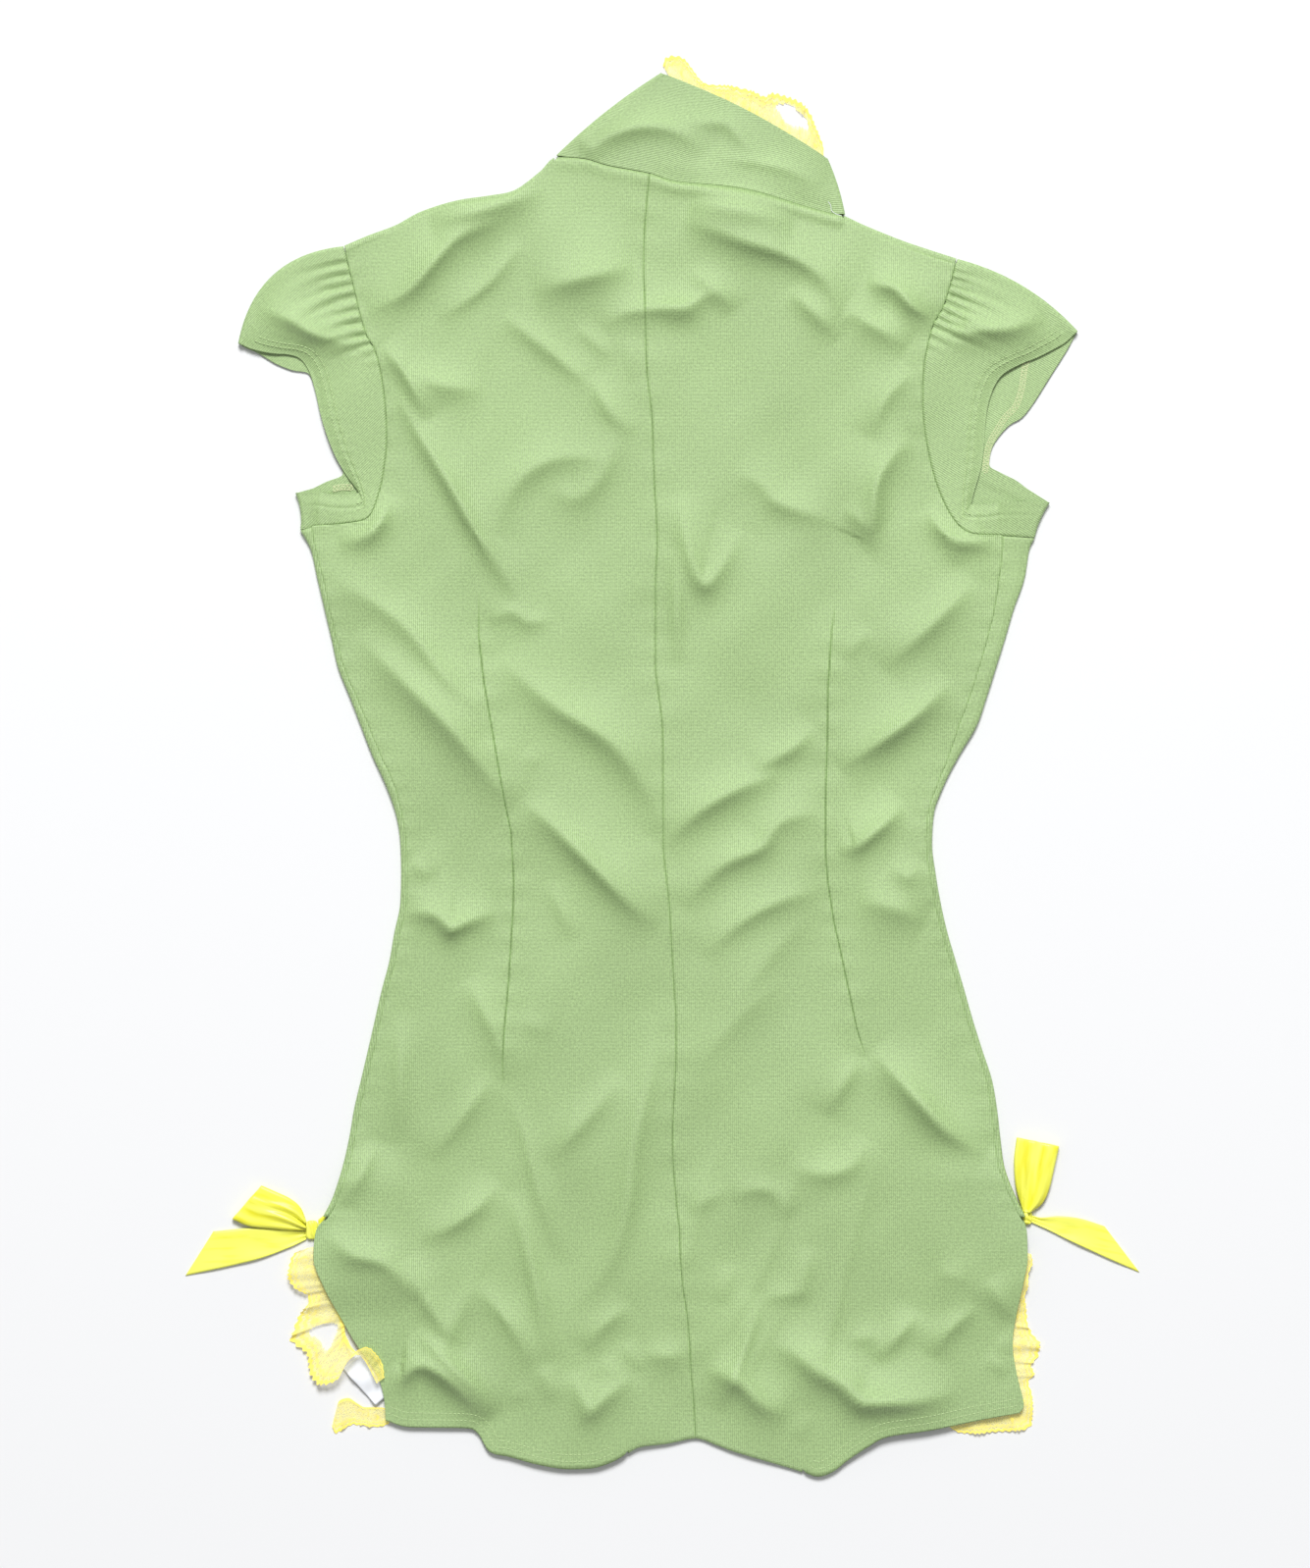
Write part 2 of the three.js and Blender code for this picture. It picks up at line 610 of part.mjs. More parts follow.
// Gathers of a cap sleeve: waves at the armhole that die away towards the hem
const GATHERS = { count: 9, depth: 1.1, reach: 0.3, first: 0.06, last: 0.5, ease: 0.3 };
const SLEEVE_ROWS = [0, 0.1, 0.27, 0.6, 1];
const SLEEVE_STEPS = 3;
const TURNS_UP = [0.5, 0.75, 1];
const TURNS_OVER = [1, 0.75, 0.5];
const TURNS_UNDER = [0.25, 0];
const TURNS_BACK = [0, 0.25];
const TIP_GAP = 0.5; // extra room at the shoulder tip, where two rolled edges meet

function gatherHeight(round, down) {
  const place = (round - GATHERS.first) / (GATHERS.last - GATHERS.first);
  if (place <= 0 || place >= 1) return 0;
  const wave = Math.sin(2 * Math.PI * GATHERS.count * place) * Math.sin(Math.PI * place) ** GATHERS.ease;
  return GATHERS.depth * wave * Math.exp(-((down / GATHERS.reach) ** 2));
}

// One way down a sleeve, from its armhole seam to its hem, bulging outwards on the way
function sleevePlan(station, down) {
  const plan = between(station.seam, station.hem, down);
  const line = station.hem.clone().sub(station.seam).normalize();
  const outward = at(-line.y, line.x).multiplyScalar(station.turn);
  return plan.addScaledVector(outward, station.bulge * 4 * down * (1 - down));
}

// Stations of one layer of a sleeve, with steps set between the table's rows
function layerStations(rows, steps, side, gapSide) {
  const seams = besideLine(rows.map(seamPoint), SEAM_GAP * gapSide);
  const made = [];
  rows.forEach((row, k) => {
    if (k === 0) return;
    const parts = k - 1 < steps.until ? steps.fine : 1;
    for (let part = 1; part <= parts; part++) {
      const share = part / parts;
      const before = rows[k - 1];
      made.push({
        seam: between(seams[k - 1], seams[k], share),
        hem: between(hemPoint(before), hemPoint(row), share),
        bulge: mix(before.bulge, row.bulge, share),
        turn: side,
        round: (k - 1 + share) / rows.length,
      });
    }
  });
  return { made, first: seams[0] };
}

function sleeve(side) {
  const facts = SIDES[side];
  const gapSide = side === LEFT ? -1 : 1;
  const fine = { until: 6, fine: SLEEVE_STEPS };
  const upper = layerStations(facts.upper, fine, side, gapSide);
  const lower = layerStations(facts.lower, { until: 0, fine: 1 }, side, gapSide);
  const tip = hemPoint(facts.upper[0]);
  const shoulder = {
    seam: upper.first.addScaledVector(tip.clone().sub(upper.first).normalize(), TIP_GAP),
    hem: tip,
    bulge: facts.upper[0].bulge - KNIT / 2,
    turn: side,
  };
  const fold = {
    seam: at(facts.fold.seamX - (KNIT / 2) * side, facts.fold.seamY + SEAM_GAP + UNDERARM_ROOM),
    hem: hemPoint(facts.fold),
    bulge: facts.fold.bulge,
    turn: side,
  };
  const flatColumn = (station, height, waved) => SLEEVE_ROWS.map((down) => {
    const plan = sleevePlan(station, down);
    const wave = waved ? gatherHeight(station.round, down) : 0;
    return raise(plan, height(plan.x, plan.y) + wave);
  });
  const rollColumn = (edge, neighbour, turn) => SLEEVE_ROWS.map((down) => {
    const step = rollStep(turn);
    const here = sleevePlan(edge, down);
    const inward = sleevePlan(neighbour, down).sub(here).normalize();
    const plan = here.addScaledVector(inward, step.inward);
    return raise(plan, mix(lowerZ(plan.x, plan.y), upperZ(plan.x, plan.y), step.rise));
  });
  const upperEnd = upper.made[upper.made.length - 1];
  const lowerEnd = lower.made[lower.made.length - 1];
  const columns = [
    ...TURNS_UP.map((turn) => rollColumn(shoulder, upper.made[0], turn)),
    ...upper.made.map((station) => flatColumn(station, upperZ, true)),
    ...TURNS_OVER.map((turn) => rollColumn(fold, upperEnd, turn)),
    ...TURNS_UNDER.map((turn) => rollColumn(fold, lowerEnd, turn)),
    ...lower.made.reverse().map((station) => flatColumn(station, lowerZ, false)),
    ...TURNS_BACK.map((turn) => rollColumn(shoulder, lower.made[lower.made.length - 1], turn)),
  ];
  const grid = SLEEVE_ROWS.map((down, row) => columns.map((column) => column[row]));
  const solid = clothSolid(turned(grid, -side), KNIT, { ring: true });
  addPiece('sleeve_' + facts.name, solid, KNIT_GREEN, 0.75);
}

// Stand collar, pushed over to the left: its two folds, base first, and how far each bows outwards
const COLLAR_FOLDS = {
  left: { base: at(-62, 357.4), top: at(-1, 405.5), bow: 2 },
  right: { base: at(107, 322.8), top: at(97, 355), bow: 1 },
};
const COLLAR_ROWS = [0, 0.25, 0.5, 0.75, 1];

const neckShare = (x) => (x - LEFT_NECK_POINT) / (RIGHT_NECK_POINT - LEFT_NECK_POINT);

// Top edge of the collar above one place on the neckline
function collarTop(x, drop) {
  const share = neckShare(x);
  const line = between(COLLAR_FOLDS.left.top, COLLAR_FOLDS.right.top, share);
  const slope = COLLAR_FOLDS.right.top.clone().sub(COLLAR_FOLDS.left.top).normalize();
  line.addScaledVector(at(-slope.y, slope.x), COLLAR_BULGE * 4 * share * (1 - share));
  return line.sub(at(0, drop * Math.sin(Math.PI * share)));
}

function neckColumns(side, centreX, counts, clear) {
  const shares = columnShares(side, centreX, counts).slice(0, counts.neck + 1);
  const tip = seamPoint(SIDES[side].upper[0]).x;
  const places = shares.map((share) => mix(centreX, tip, share));
  places[0] += clear * side;
  return places;
}

function collar() {
  const lowerCentre = mix(LEFT_NECK_POINT, RIGHT_NECK_POINT, 0.5);
  const upperX = [
    ...neckColumns(LEFT, NAPE_SEAM[0].x, SIDES[LEFT].backColumns, 0).reverse(),
    ...neckColumns(RIGHT, NAPE_SEAM[0].x, SIDES[RIGHT].backColumns, 0).slice(1),
  ];
  const clear = SEAM_GAP / 2;
  const lowerLeft = neckColumns(LEFT, lowerCentre, SIDES[LEFT].frontColumns, clear).reverse();
  const lowerRight = neckColumns(RIGHT, lowerCentre, SIDES[RIGHT].frontColumns, clear);
  const column = (base, top, height) => COLLAR_ROWS.map((up) => {
    const plan = between(base, top, up);
    return raise(plan, height(plan.x, plan.y));
  });
  const layer = (places, lineHeight, drop, height) => {
    const line = besideLine(places.map((x) => at(x, lineHeight(x))), SEAM_GAP);
    return line.map((base, k) => column(base, collarTop(places[k], drop), height));
  };
  const under = (x, y) => COLLAR_CLOTH / 2 + lift(x, y);
  const upper = layer(upperX, (x) => lineY(TOP_LINE, x), 0, upperZ).slice(1, -1);
  const left = layer(lowerLeft, frontNeckY, FRONT_NECK_DROP, under).slice(1);
  const right = layer(lowerRight, frontNeckY, FRONT_NECK_DROP, under).slice(0, -1);
  const roll = (fold, outward, neighbour, turn) => COLLAR_ROWS.map((up, row) => {
    const step = rollStep(turn);
    const here = between(fold.base, fold.top, up);
    const line = fold.top.clone().sub(fold.base).normalize();
    here.addScaledVector(at(-line.y, line.x), outward * (fold.bow * 4 * up * (1 - up) - COLLAR_CLOTH / 2));
    const next = at(neighbour[row].x, neighbour[row].y);
    const plan = here.clone().addScaledVector(next.sub(here).normalize(), step.inward);
    return raise(plan, mix(under(plan.x, plan.y), upperZ(plan.x, plan.y), step.rise));
  });
  const folds = COLLAR_FOLDS;
  const columns = [
    ...right,
    ...TURNS_BACK.map((turn) => roll(folds.right, -1, right[right.length - 1], turn)),
    ...TURNS_UP.map((turn) => roll(folds.right, -1, upper[upper.length - 1], turn)),
    ...upper.reverse(),
    ...TURNS_OVER.map((turn) => roll(folds.left, 1, upper[upper.length - 1], turn)),
    ...TURNS_UNDER.map((turn) => roll(folds.left, 1, left[0], turn)),
    ...left,
  ];
  const grid = COLLAR_ROWS.map((up, row) => columns.map((one) => one[row]));
  addPiece('collar', clothSolid(grid, COLLAR_CLOTH), KNIT_GREEN, 0.75);
}

// Gathered lace: sewn edge, free edge and the free edge's height over the lace's own level
const LACE_COLUMNS = ['sewnX', 'sewnY', 'freeX', 'freeY', 'sewnRise', 'freeRise'];
const COLLAR_LACE = table(LACE_COLUMNS, [
  [7, 398.5, 0, 410.5, 0, 0],
  [9.5, 397, 2, 415, 0, 0.5],
  [12, 395.5, 7, 416.4, 0, 1],
  [15, 394, 12.5, 414.5, 0, 0.5],
  [18, 392.5, 18, 407.5, 0, 0],
  [22, 390.5, 22, 402, 0, 0],
  [28, 387.5, 28, 399.3, 0, 0.3],
  [36, 383.5, 37, 399, 0, 0.5],
  [44, 379, 46, 397.5, 0, 0.5],
  [51, 375.5, 54, 395.3, 0, 0],
  [56, 373, 60, 392.3, 0, 0.5],
  [61, 370.5, 65, 394.5, 0, 1],
  [67, 367.5, 73, 392.8, 0, 0.8],
  [73, 364.5, 80, 390, 0, 0.5],
  [78, 361.5, 86, 384.5, 0, 0],
  [82, 359, 89, 377, 0, 0],
  [86, 356.5, 92.5, 369, 0, 0.5],
  [89, 354, 94.5, 362.5, 0, 0],
  [90.5, 352.5, 94.5, 357.5, 0, 0],
]);
const LEFT_SLIT_LACE = table(LACE_COLUMNS, [
  [-200.8, -281, -208, -282.5, 0, 0],
  [-201.2, -285, -216, -286, 0, 0.6],
  [-200.8, -290, -219, -292, 0, 0],
  [-199, -297, -220, -299, 0, 0.6],
  [-196.5, -303, -216, -306, 0, 0],
  [-194, -308, -207.5, -312, 0, 0],
  [-191, -313.5, -211, -319, 0, 0.8],
  [-188, -320, -216, -328, 0, 0],
  [-186, -325, -219, -337, 0, 0.8],
  [-186, -329.5, -209, -345, 0, 2],
  [-185.4, -333.5, -207, -357, 0.5, 2],
  [-183.6, -337, -200, -363.5, 1.5, 3],
  [-182, -340, -190, -360, 3, 5],
  [-178.5, -343.5, -184, -348, 4.5, 7],
  [-174.5, -347.5, -173, -339.5, 4.5, 5.5],
  [-171.5, -352.5, -166, -345, 4.5, 5],
  [-169, -357.5, -163, -352, 4.5, 4.5],
  [-167, -361.5, -162.5, -358, 4.5, 4.5],
]);
const LEFT_FRONT_SLIT_LACE = table(LACE_COLUMNS, [
  [-158, -377.5, -158, -383, 0, 0],
  [-161, -377, -161, -386, 0, 0],
  [-164.5, -376, -164.5, -387.5, -0.4, -0.4],
  [-169, -376, -170, -388, -1, 0],
  [-174, -376, -176, -387, -1, 1],
  [-179, -373.5, -181, -386.5, -1, 0],
  [-184, -370.5, -186.5, -389, -0.5, 1],
  [-189, -372, -191, -392, -0.5, 0],
  [-191, -377, -193.5, -387, -0.5, 0],
]);
const RIGHT_SLIT_LACE = table(LACE_COLUMNS, [
  [208, -284, 216, -286, 0, 0],
  [208, -290, 217, -291.5, 0, 0],
  [207, -297, 214.5, -298, 0, 0],
  [205, -304, 214.5, -305, 0, 0],
  [204, -311, 212.5, -311.5, 0, 0],
  [202, -318, 213.5, -319, 0, 0],
  [201, -325, 214.5, -327, 0, 0],
  [200, -332, 217, -333, 0, 0],
  [199.5, -338, 222, -338.5, 0, 1],
  [199.5, -344, 221, -346, 0, 0],
  [200.5, -350, 216.5, -351, 0, 0],
  [202, -356, 218.5, -357, 0, 1],
  [203, -362, 215, -362, 0, 0],
  [204, -367, 217, -368.5, 0, 0],
  [204, -371, 217.5, -376.5, 0, 0.3],
  [202, -374, 216, -388, 0, 0],
  [197, -375, 205, -390.5, 0, 1],
  [190, -375.5, 194, -391, 0, 0],
  [182, -377, 184, -392, 0, 1],
  [174, -379.5, 175, -391.5, 0, 0],
  [168, -381, 167, -387, 0, 0],
]);
const LACE_ROWS = [0, 0.25, 0.5, 0.75, 1];
const LACE_FADE = 0.4; // how fast the waves grow from either end of a strip

// Gathered strip of lace whose waves grow from the cloth's edge to its free edge
function laceStrip(name, rows, facts) {
  const sewn = stepped(rows.map((row) => at(row.sewnX, row.sewnY)), facts.columns);
  const free = stepped(rows.map((row) => at(row.freeX, row.freeY)), facts.columns);
  const rises = stepped(rows.map((row) => at(row.sewnRise, row.freeRise)), facts.columns);
  const grid = LACE_ROWS.map((down) => sewn.map((from, k) => {
    const plan = between(from, free[k], down);
    const share = k / (facts.columns - 1);
    const loose = Math.max(0, (down - facts.flat) / (1 - facts.flat));
    const fade = Math.sin(Math.PI * share) ** LACE_FADE;
    const wave = facts.depth * loose * fade * Math.sin(2 * Math.PI * facts.waves * share);
    return raise(plan, betweenZ(plan.x, plan.y) + mix(rises[k].x, rises[k].y, down) + wave);
  }));
  const hole = facts.hole;
  const open = (row, column) => hole !== undefined
    && row >= hole.fromRow && row < hole.toRow && column >= hole.fromColumn && column < hole.toColumn;
  addPiece(name, clothSolid(grid, LACE, { open }), LACE_YELLOW, 0.85);
}

const ACROSS = [0, 0.33, 0.67, 1];
const TAIL_STEPS = 7;
const TAIL_CREASE = 0.4;
const LOOP_TURNS = [-0.5, -0.25, 0, 0.25, 0.5];

// Satin ribbon laid flat between two edge lines, with a gentle arch along it
function ribbonTail(name, firstEdge, secondEdge, facts) {
  const first = evenly(firstEdge, TAIL_STEPS);
  const second = evenly(secondEdge, TAIL_STEPS);
  const grid = ACROSS.map((across) => first.map((from, k) => {
    const plan = between(from, second[k], across);
    const crease = 1 - TAIL_CREASE + TAIL_CREASE * Math.cos(2 * Math.PI * across);
    const arch = facts.arch * Math.sin((Math.PI * k) / (TAIL_STEPS - 1)) * crease;
    return raise(plan, RIBBON / 2 + arch);
  }));
  addPiece(name, clothSolid(grid, RIBBON), RIBBON_YELLOW, 0.4);
}

// Ribbon that runs out from the knot on the table, turns over and comes back on top
function ribbonLoop(name, firstEdge, secondEdge, facts) {
  const steps = facts.steps;
  const first = evenly(firstEdge, steps);
  const second = evenly(secondEdge, steps);
  const grid = ACROSS.map((across) => {
    const plans = first.map((from, k) => between(from, second[k], across));
    const outward = plans[steps - 1].clone().sub(plans[steps - 2]).normalize();
    const end = plans[steps - 1].clone().addScaledVector(outward, -RIBBON / 2);
    const topZ = (share) => {
      const puff = facts.puff * Math.sin(Math.PI * share) ** 0.7;
      const crease = facts.crease * Math.cos(2 * Math.PI * across) * (1 - share);
      return facts.knotZ + (facts.endZ - facts.knotZ) * share + puff + crease * share;
    };
    const below = plans.slice(0, -1).map((plan) => raise(plan, RIBBON / 2));
    const above = plans.slice(0, -1).map((plan, k) => raise(plan, topZ(k / (steps - 1))));
    const radius = (topZ(1) - RIBBON / 2) / 2;
    const turn = LOOP_TURNS.map((half) => {
      const angle = half * Math.PI;
      const plan = end.clone().addScaledVector(outward, radius * (Math.cos(angle) - 1));
      return raise(plan, RIBBON / 2 + radius * (1 + Math.sin(angle)));
    });
    return [...below, ...turn, ...above.reverse()];
  });
  addPiece(name, clothSolid(grid, RIBBON), RIBBON_YELLOW, 0.4);
}

// Knot of wrapped ribbon, flat underneath
function knot(name, low, high, height) {
  const geometry = new THREE.SphereGeometry(1, 12, 8);
  const places = geometry.getAttribute('position');
  const square = (value) => Math.sign(value) * Math.abs(value) ** 0.5;
  for (let k = 0; k < places.count; k++) {
    const x = mix(low.x, high.x, 0.5 + square(places.getX(k)) / 2);
    const y = mix(low.y, high.y, 0.5 + square(places.getY(k)) / 2);
    const z = height * (0.5 + square(places.getZ(k)) / 2);
    places.setXYZ(k, x, y, z);
  }
  addPiece(name, geometry, RIBBON_YELLOW, 0.4);
}

const line = (...places) => places.map(([x, y]) => at(x, y));
const SHOWN_LOOP = { steps: 6, knotZ: 1.9, endZ: 3.6, puff: 3.2, crease: 1.2 };
const HIDDEN_LOOP = { steps: 3, knotZ: 2.3, endZ: 2.3, puff: 0, crease: 0 };

function leftBow() {
  knot('bow_left_knot', at(-209, -278), at(-201.5, -265), 2.8);
  ribbonLoop('bow_left_loop',
    line([-209.3, -267], [-212, -260.5], [-219, -254.5], [-226.5, -250.5], [-234, -246.5]),
    line([-209.3, -272.3], [-219, -271.2], [-230, -270.2], [-241, -269.5], [-251, -266]),
    SHOWN_LOOP);
  ribbonTail('bow_left_tail',
    line([-209.3, -273], [-225, -271.8], [-240, -271], [-263, -273]),
    line([-209.3, -277.5], [-220, -283], [-240, -290], [-279.4, -299]),
    { arch: 1.2 });
  ribbonLoop('bow_left_hidden_loop',
    line([-201.2, -266], [-190, -258], [-174, -254]),
    line([-201.2, -271], [-190, -273], [-174, -278]),
    HIDDEN_LOOP);
  ribbonTail('bow_left_hidden_tail',
    line([-201.2, -272], [-190, -275], [-172, -281]),
    line([-201.2, -277], [-192, -287], [-177, -299]),
    { arch: 0 });
}

function rightBow() {
  knot('bow_right_knot', at(210.5, -268), at(218.5, -258), 2.8);
  ribbonLoop('bow_right_loop',
    line([212.3, -257.7], [210, -252], [207.8, -243], [206.7, -232], [208, -218.5]),
    line([218.5, -257.7], [223.5, -252], [227, -243], [230, -232], [232, -224]),
    SHOWN_LOOP);
  ribbonTail('bow_right_tail',
    line([218.8, -262.5], [223, -264.5], [232, -264], [245, -265.5], [259, -270]),
    line([218.8, -267.5], [226, -272], [238, -278], [255, -286], [279.5, -297]),
    { arch: 1.2 });
  ribbonLoop('bow_right_hidden_loop',
    line([210.2, -260], [198, -252], [182, -249]),
    line([210.2, -264.5], [198, -268], [182, -273]),
    HIDDEN_LOOP);
  ribbonTail('bow_right_hidden_tail',
    line([210.2, -265.5], [198, -270], [182, -277]),
    line([210.2, -267.8], [200, -281], [186, -296]),
    { arch: 0 });
}

// Blank care label that comes out between the layers at the left slit
const LABEL_CORNERS = {
  near: at(-164.5, -336),
  far: at(-149, -356),
  outNear: at(-188, -354),
  outFar: at(-171, -374),
};
const LABEL_STEPS = [0, 0.2, 0.4, 0.6, 0.8, 1];

function careLabel() {
  const grid = ACROSS.map((across) => LABEL_STEPS.map((out) => {
    const inner = between(LABEL_CORNERS.near, LABEL_CORNERS.far, across);
    const outer = between(LABEL_CORNERS.outNear, LABEL_CORNERS.outFar, across);
    const plan = between(inner, outer, out);
    return raise(plan, betweenZ(plan.x, plan.y));
  }));
  addPiece('care_label', clothSolid(grid, SATIN), LABEL_WHITE, 0.5);
}

backPanel(LEFT);
backPanel(RIGHT);
frontPanel(LEFT);
frontPanel(RIGHT);
sleeve(LEFT);
sleeve(RIGHT);
collar();
laceStrip('collar_lace', COLLAR_LACE, {
  columns: 37, waves: 10, depth: 1.4, flat: 0.5,
  hole: { fromRow: 2, toRow: 3, fromColumn: 23, toColumn: 29 },
});
laceStrip('slit_lace_left', LEFT_SLIT_LACE, {
  columns: 37, waves: 9, depth: 1.1, flat: 0.3,
  hole: { fromRow: 1, toRow: 3, fromColumn: 19, toColumn: 23 },
});
laceStrip('slit_lace_left_front', LEFT_FRONT_SLIT_LACE, { columns: 15, waves: 3.5, depth: 0.8, flat: 0.3 });
laceStrip('slit_lace_right', RIGHT_SLIT_LACE, { columns: 41, waves: 10, depth: 0.4, flat: 0.6 });
leftBow();
rightBow();
careLabel();

export default romper;
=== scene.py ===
import math

import bmesh
import bpy
import numpy as np
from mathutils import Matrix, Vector


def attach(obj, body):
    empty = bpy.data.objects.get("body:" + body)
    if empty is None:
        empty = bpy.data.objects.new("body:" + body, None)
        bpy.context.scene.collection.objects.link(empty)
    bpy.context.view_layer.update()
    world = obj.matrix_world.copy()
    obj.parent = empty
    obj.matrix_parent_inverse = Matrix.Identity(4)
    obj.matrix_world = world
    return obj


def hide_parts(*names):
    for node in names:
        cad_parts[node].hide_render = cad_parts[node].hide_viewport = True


# A knit romper laid flat on a table, back up. Tables are in millimetres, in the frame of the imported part.
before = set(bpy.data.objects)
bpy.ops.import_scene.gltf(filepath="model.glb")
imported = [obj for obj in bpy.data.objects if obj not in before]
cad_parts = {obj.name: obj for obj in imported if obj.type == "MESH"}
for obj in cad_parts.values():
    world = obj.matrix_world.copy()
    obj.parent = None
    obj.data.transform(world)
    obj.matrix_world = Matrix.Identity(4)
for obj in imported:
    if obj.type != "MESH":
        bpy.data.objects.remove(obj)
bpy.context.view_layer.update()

MM = 0.001
LEFT, RIGHT = -1, 1
NAMES = {LEFT: "left", RIGHT: "right"}

# Levels of the layers' middles, walls and gaps
KNIT_WALL = 0.8
RIBBON_WALL = 0.35
LABEL_WALL = 0.3
UPPER_LEVEL = 3.8
LOWER_LEVEL = 0.6
BETWEEN_LEVEL = 2.25
LEAST_UPPER = 2.7
ROLL = 1.7
SEAM_GAP = 0.3
SIDE_SEAM_GAP = 0.08
BOW_LIFT = 3.2
LIFT_FADE = 28.0
FRONT_NECK_DROP = 38.0
FRONT_HEM_RISE = 3.0

# Neck and shoulder line of the back, x and y from the left shoulder tip to the right one
TOP_LINE = [
    (-186, 304), (-172, 310), (-156, 316), (-141, 324), (-121, 330), (-101, 333), (-87, 336), (-72, 347),
    (-61.5, 356), (-46, 355), (-32, 351), (-8, 346.5), (6, 342), (24, 340), (42, 338), (59, 334.5), (81, 328),
    (99, 323), (106, 321.5), (118, 316), (139, 307.5), (158, 301), (172, 296.5),
]
NECK_END = {LEFT: -61.5, RIGHT: 106}
NECK_MIDDLE = (NECK_END[LEFT] + NECK_END[RIGHT]) / 2

# Hem line of the back, x and y from the left slit over the crotch to the right slit
HEM_LINE = [
    (-162, -383.5), (-147, -387.5), (-115, -388), (-108, -391), (-101, -402), (-89, -405), (-72, -409.5),
    (-55, -412), (-42, -411.5), (-30, -408), (-20, -402.5), (-13, -399), (3, -397), (19.5, -394),
    (32, -398), (43, -402), (72, -410.5), (83, -414), (91, -416.5), (100, -413.5), (109, -406.5),
    (121, -398.5), (132, -393), (158, -389), (187, -383), (209, -379),
]
CROTCH = (19.5, -394)
HEM_CORNER = {LEFT: HEM_LINE[0], RIGHT: HEM_LINE[-1]}
INSEAM_END = {LEFT: -22, RIGHT: 82}

# Centre back seam, x and y from the nape to the top of the trunk
NAPE_SEAM = [
    (-7.5, 346.3), (-10, 319), (-11, 296), (-10, 265), (-9, 230), (-6, 204), (-5, 172.5), (-3, 126.5),
]

# Trunk: height, left outline, left side seam, centre seam, right side seam, right outline
TRUNK = [
    (126.5, -206, -203, -3, 199, 215),
    (109, -202, -198.5, -4, 197, 212),
    (92, -198, -195, -4, 194.5, 206),
    (75, -194, -191, -4, 190.5, 201),
    (57.5, -190, -186.5, -4, 185.5, 195.5),
    (40, -183, -179, -2, 180, 190),
    (23, -176.5, -172, 0, 173.5, 184),
    (6, -170, -165, 0.5, 168, 174),
    (-11.5, -162, -157, 0.5, 161, 165),
    (-29, -156, -152.5, 0.5, 155.5, 159),
    (-46, -153.5, -150, 0.5, 154.5, 158),
    (-63, -153, -149.5, 2, 156.5, 160),
    (-80.5, -153.5, -150, 4, 159.5, 163),
    (-98, -157, -153.5, 5, 163.5, 167),
    (-115, -160, -156.5, 6, 168.5, 172),
    (-132, -164.5, -161, 7, 173.5, 177),
    (-149.5, -168.5, -165, 8, 178.5, 182),
    (-167, -172.5, -169, 8, 184, 187.5),
    (-184, -176.5, -173, 7.5, 189.5, 193),
    (-201, -180.5, -177, 6.5, 192.5, 196),
    (-218.5, -183.5, -180, 6, 194.5, 198),
    (-236, -187.5, -184, 6.5, 197, 200.5),
    (-253, -193, -189.5, 8, 203.5, 207),
    (-264, -198.5, -195, 9, 209, 212.5),
]

# Free edges below the slit tops: height, left edge, centre seam, right edge
SLIT = [
    (-272, -202.5, 10, 213),
    (-287.5, -204, 10.5, 213.5),
    (-305, -198, 12, 210.5),
    (-322, -189, 14.5, 207),
    (-339, -179, 16, 205),
    (-356.5, -167, 17, 207.5),
    (-374, -162.5, 18.5, 211.5),
]
LEG_ROWS = 3

# Columns of these two tables
TRUNK_EDGE, TRUNK_SEAM, TRUNK_CENTRE = {LEFT: 1, RIGHT: 5}, {LEFT: 2, RIGHT: 4}, 3
SLIT_EDGE, SLIT_CENTRE = {LEFT: 1, RIGHT: 3}, 2

# Darts of the back, x and y from their upper to their lower tips
DARTS = {
    LEFT: [
        (-107.5, 98), (-107.5, 75), (-104.5, 49), (-100.5, 26), (-96, 0), (-92, -23), (-88.5, -40),
        (-87, -69), (-87.5, -86), (-90, -126.5), (-92.5, -155), (-93.5, -175), (-93, -190),
    ],
    RIGHT: [
        (101, 92), (99, 78), (97, 46), (96.5, 11.5), (95.5, -23), (95.5, -52), (97, -69), (100.5, -92),
        (105, -112), (108, -126.5), (114, -155), (119, -171),
    ],
}

# Sleeves: armhole seam x and y, hem x and y, and how far the outline bulges past the line between them
SLEEVE_UPPER = {
    LEFT: [
        (-186, 304, -248, 247, 16), (-183, 290, -240, 243.5, 12), (-180, 278, -229, 241.2, 8),
        (-177, 265, -219, 240.5, 5), (-173, 252, -212, 238, 2), (-168, 243, -207, 231, 0),
        (-164.5, 230, -203.5, 220, 0), (-162, 212, -200, 205, 0), (-161, 192, -196, 192, 0),
        (-162.5, 175, -191, 180, 0), (-166, 158, -184, 168.5, 0), (-173, 144, -177.5, 160, 0),
        (-188, 141, -189, 158.5, 0), (-205, 139.5, -204, 160.5, 0),
    ],
    RIGHT: [
        (172, 296.5, 243, 254, 6.5), (169.5, 286, 236, 247.5, 5), (167, 277, 228, 243, 3),
        (163.5, 267, 219, 238.5, 1), (158.5, 258.5, 210, 235, 0), (155.5, 248, 199.5, 229, 0),
        (153, 235, 194, 221, 0), (152, 217, 190.5, 210, 0), (153, 199, 189, 198, 0),
        (156, 181, 188, 184, 0), (160.5, 164, 186, 172, 0), (167, 149, 183, 162, 0),
        (175, 138.5, 180.5, 153, 0), (185, 134.7, 189, 153, 0), (199, 134.3, 200, 155, 0),
    ],
}
UNDERARM_FOLD = {
    LEFT: (-212, 137.5, -214.5, 159.5, -1.5),
    RIGHT: (218, 133, 226.5, 154, -1),
}
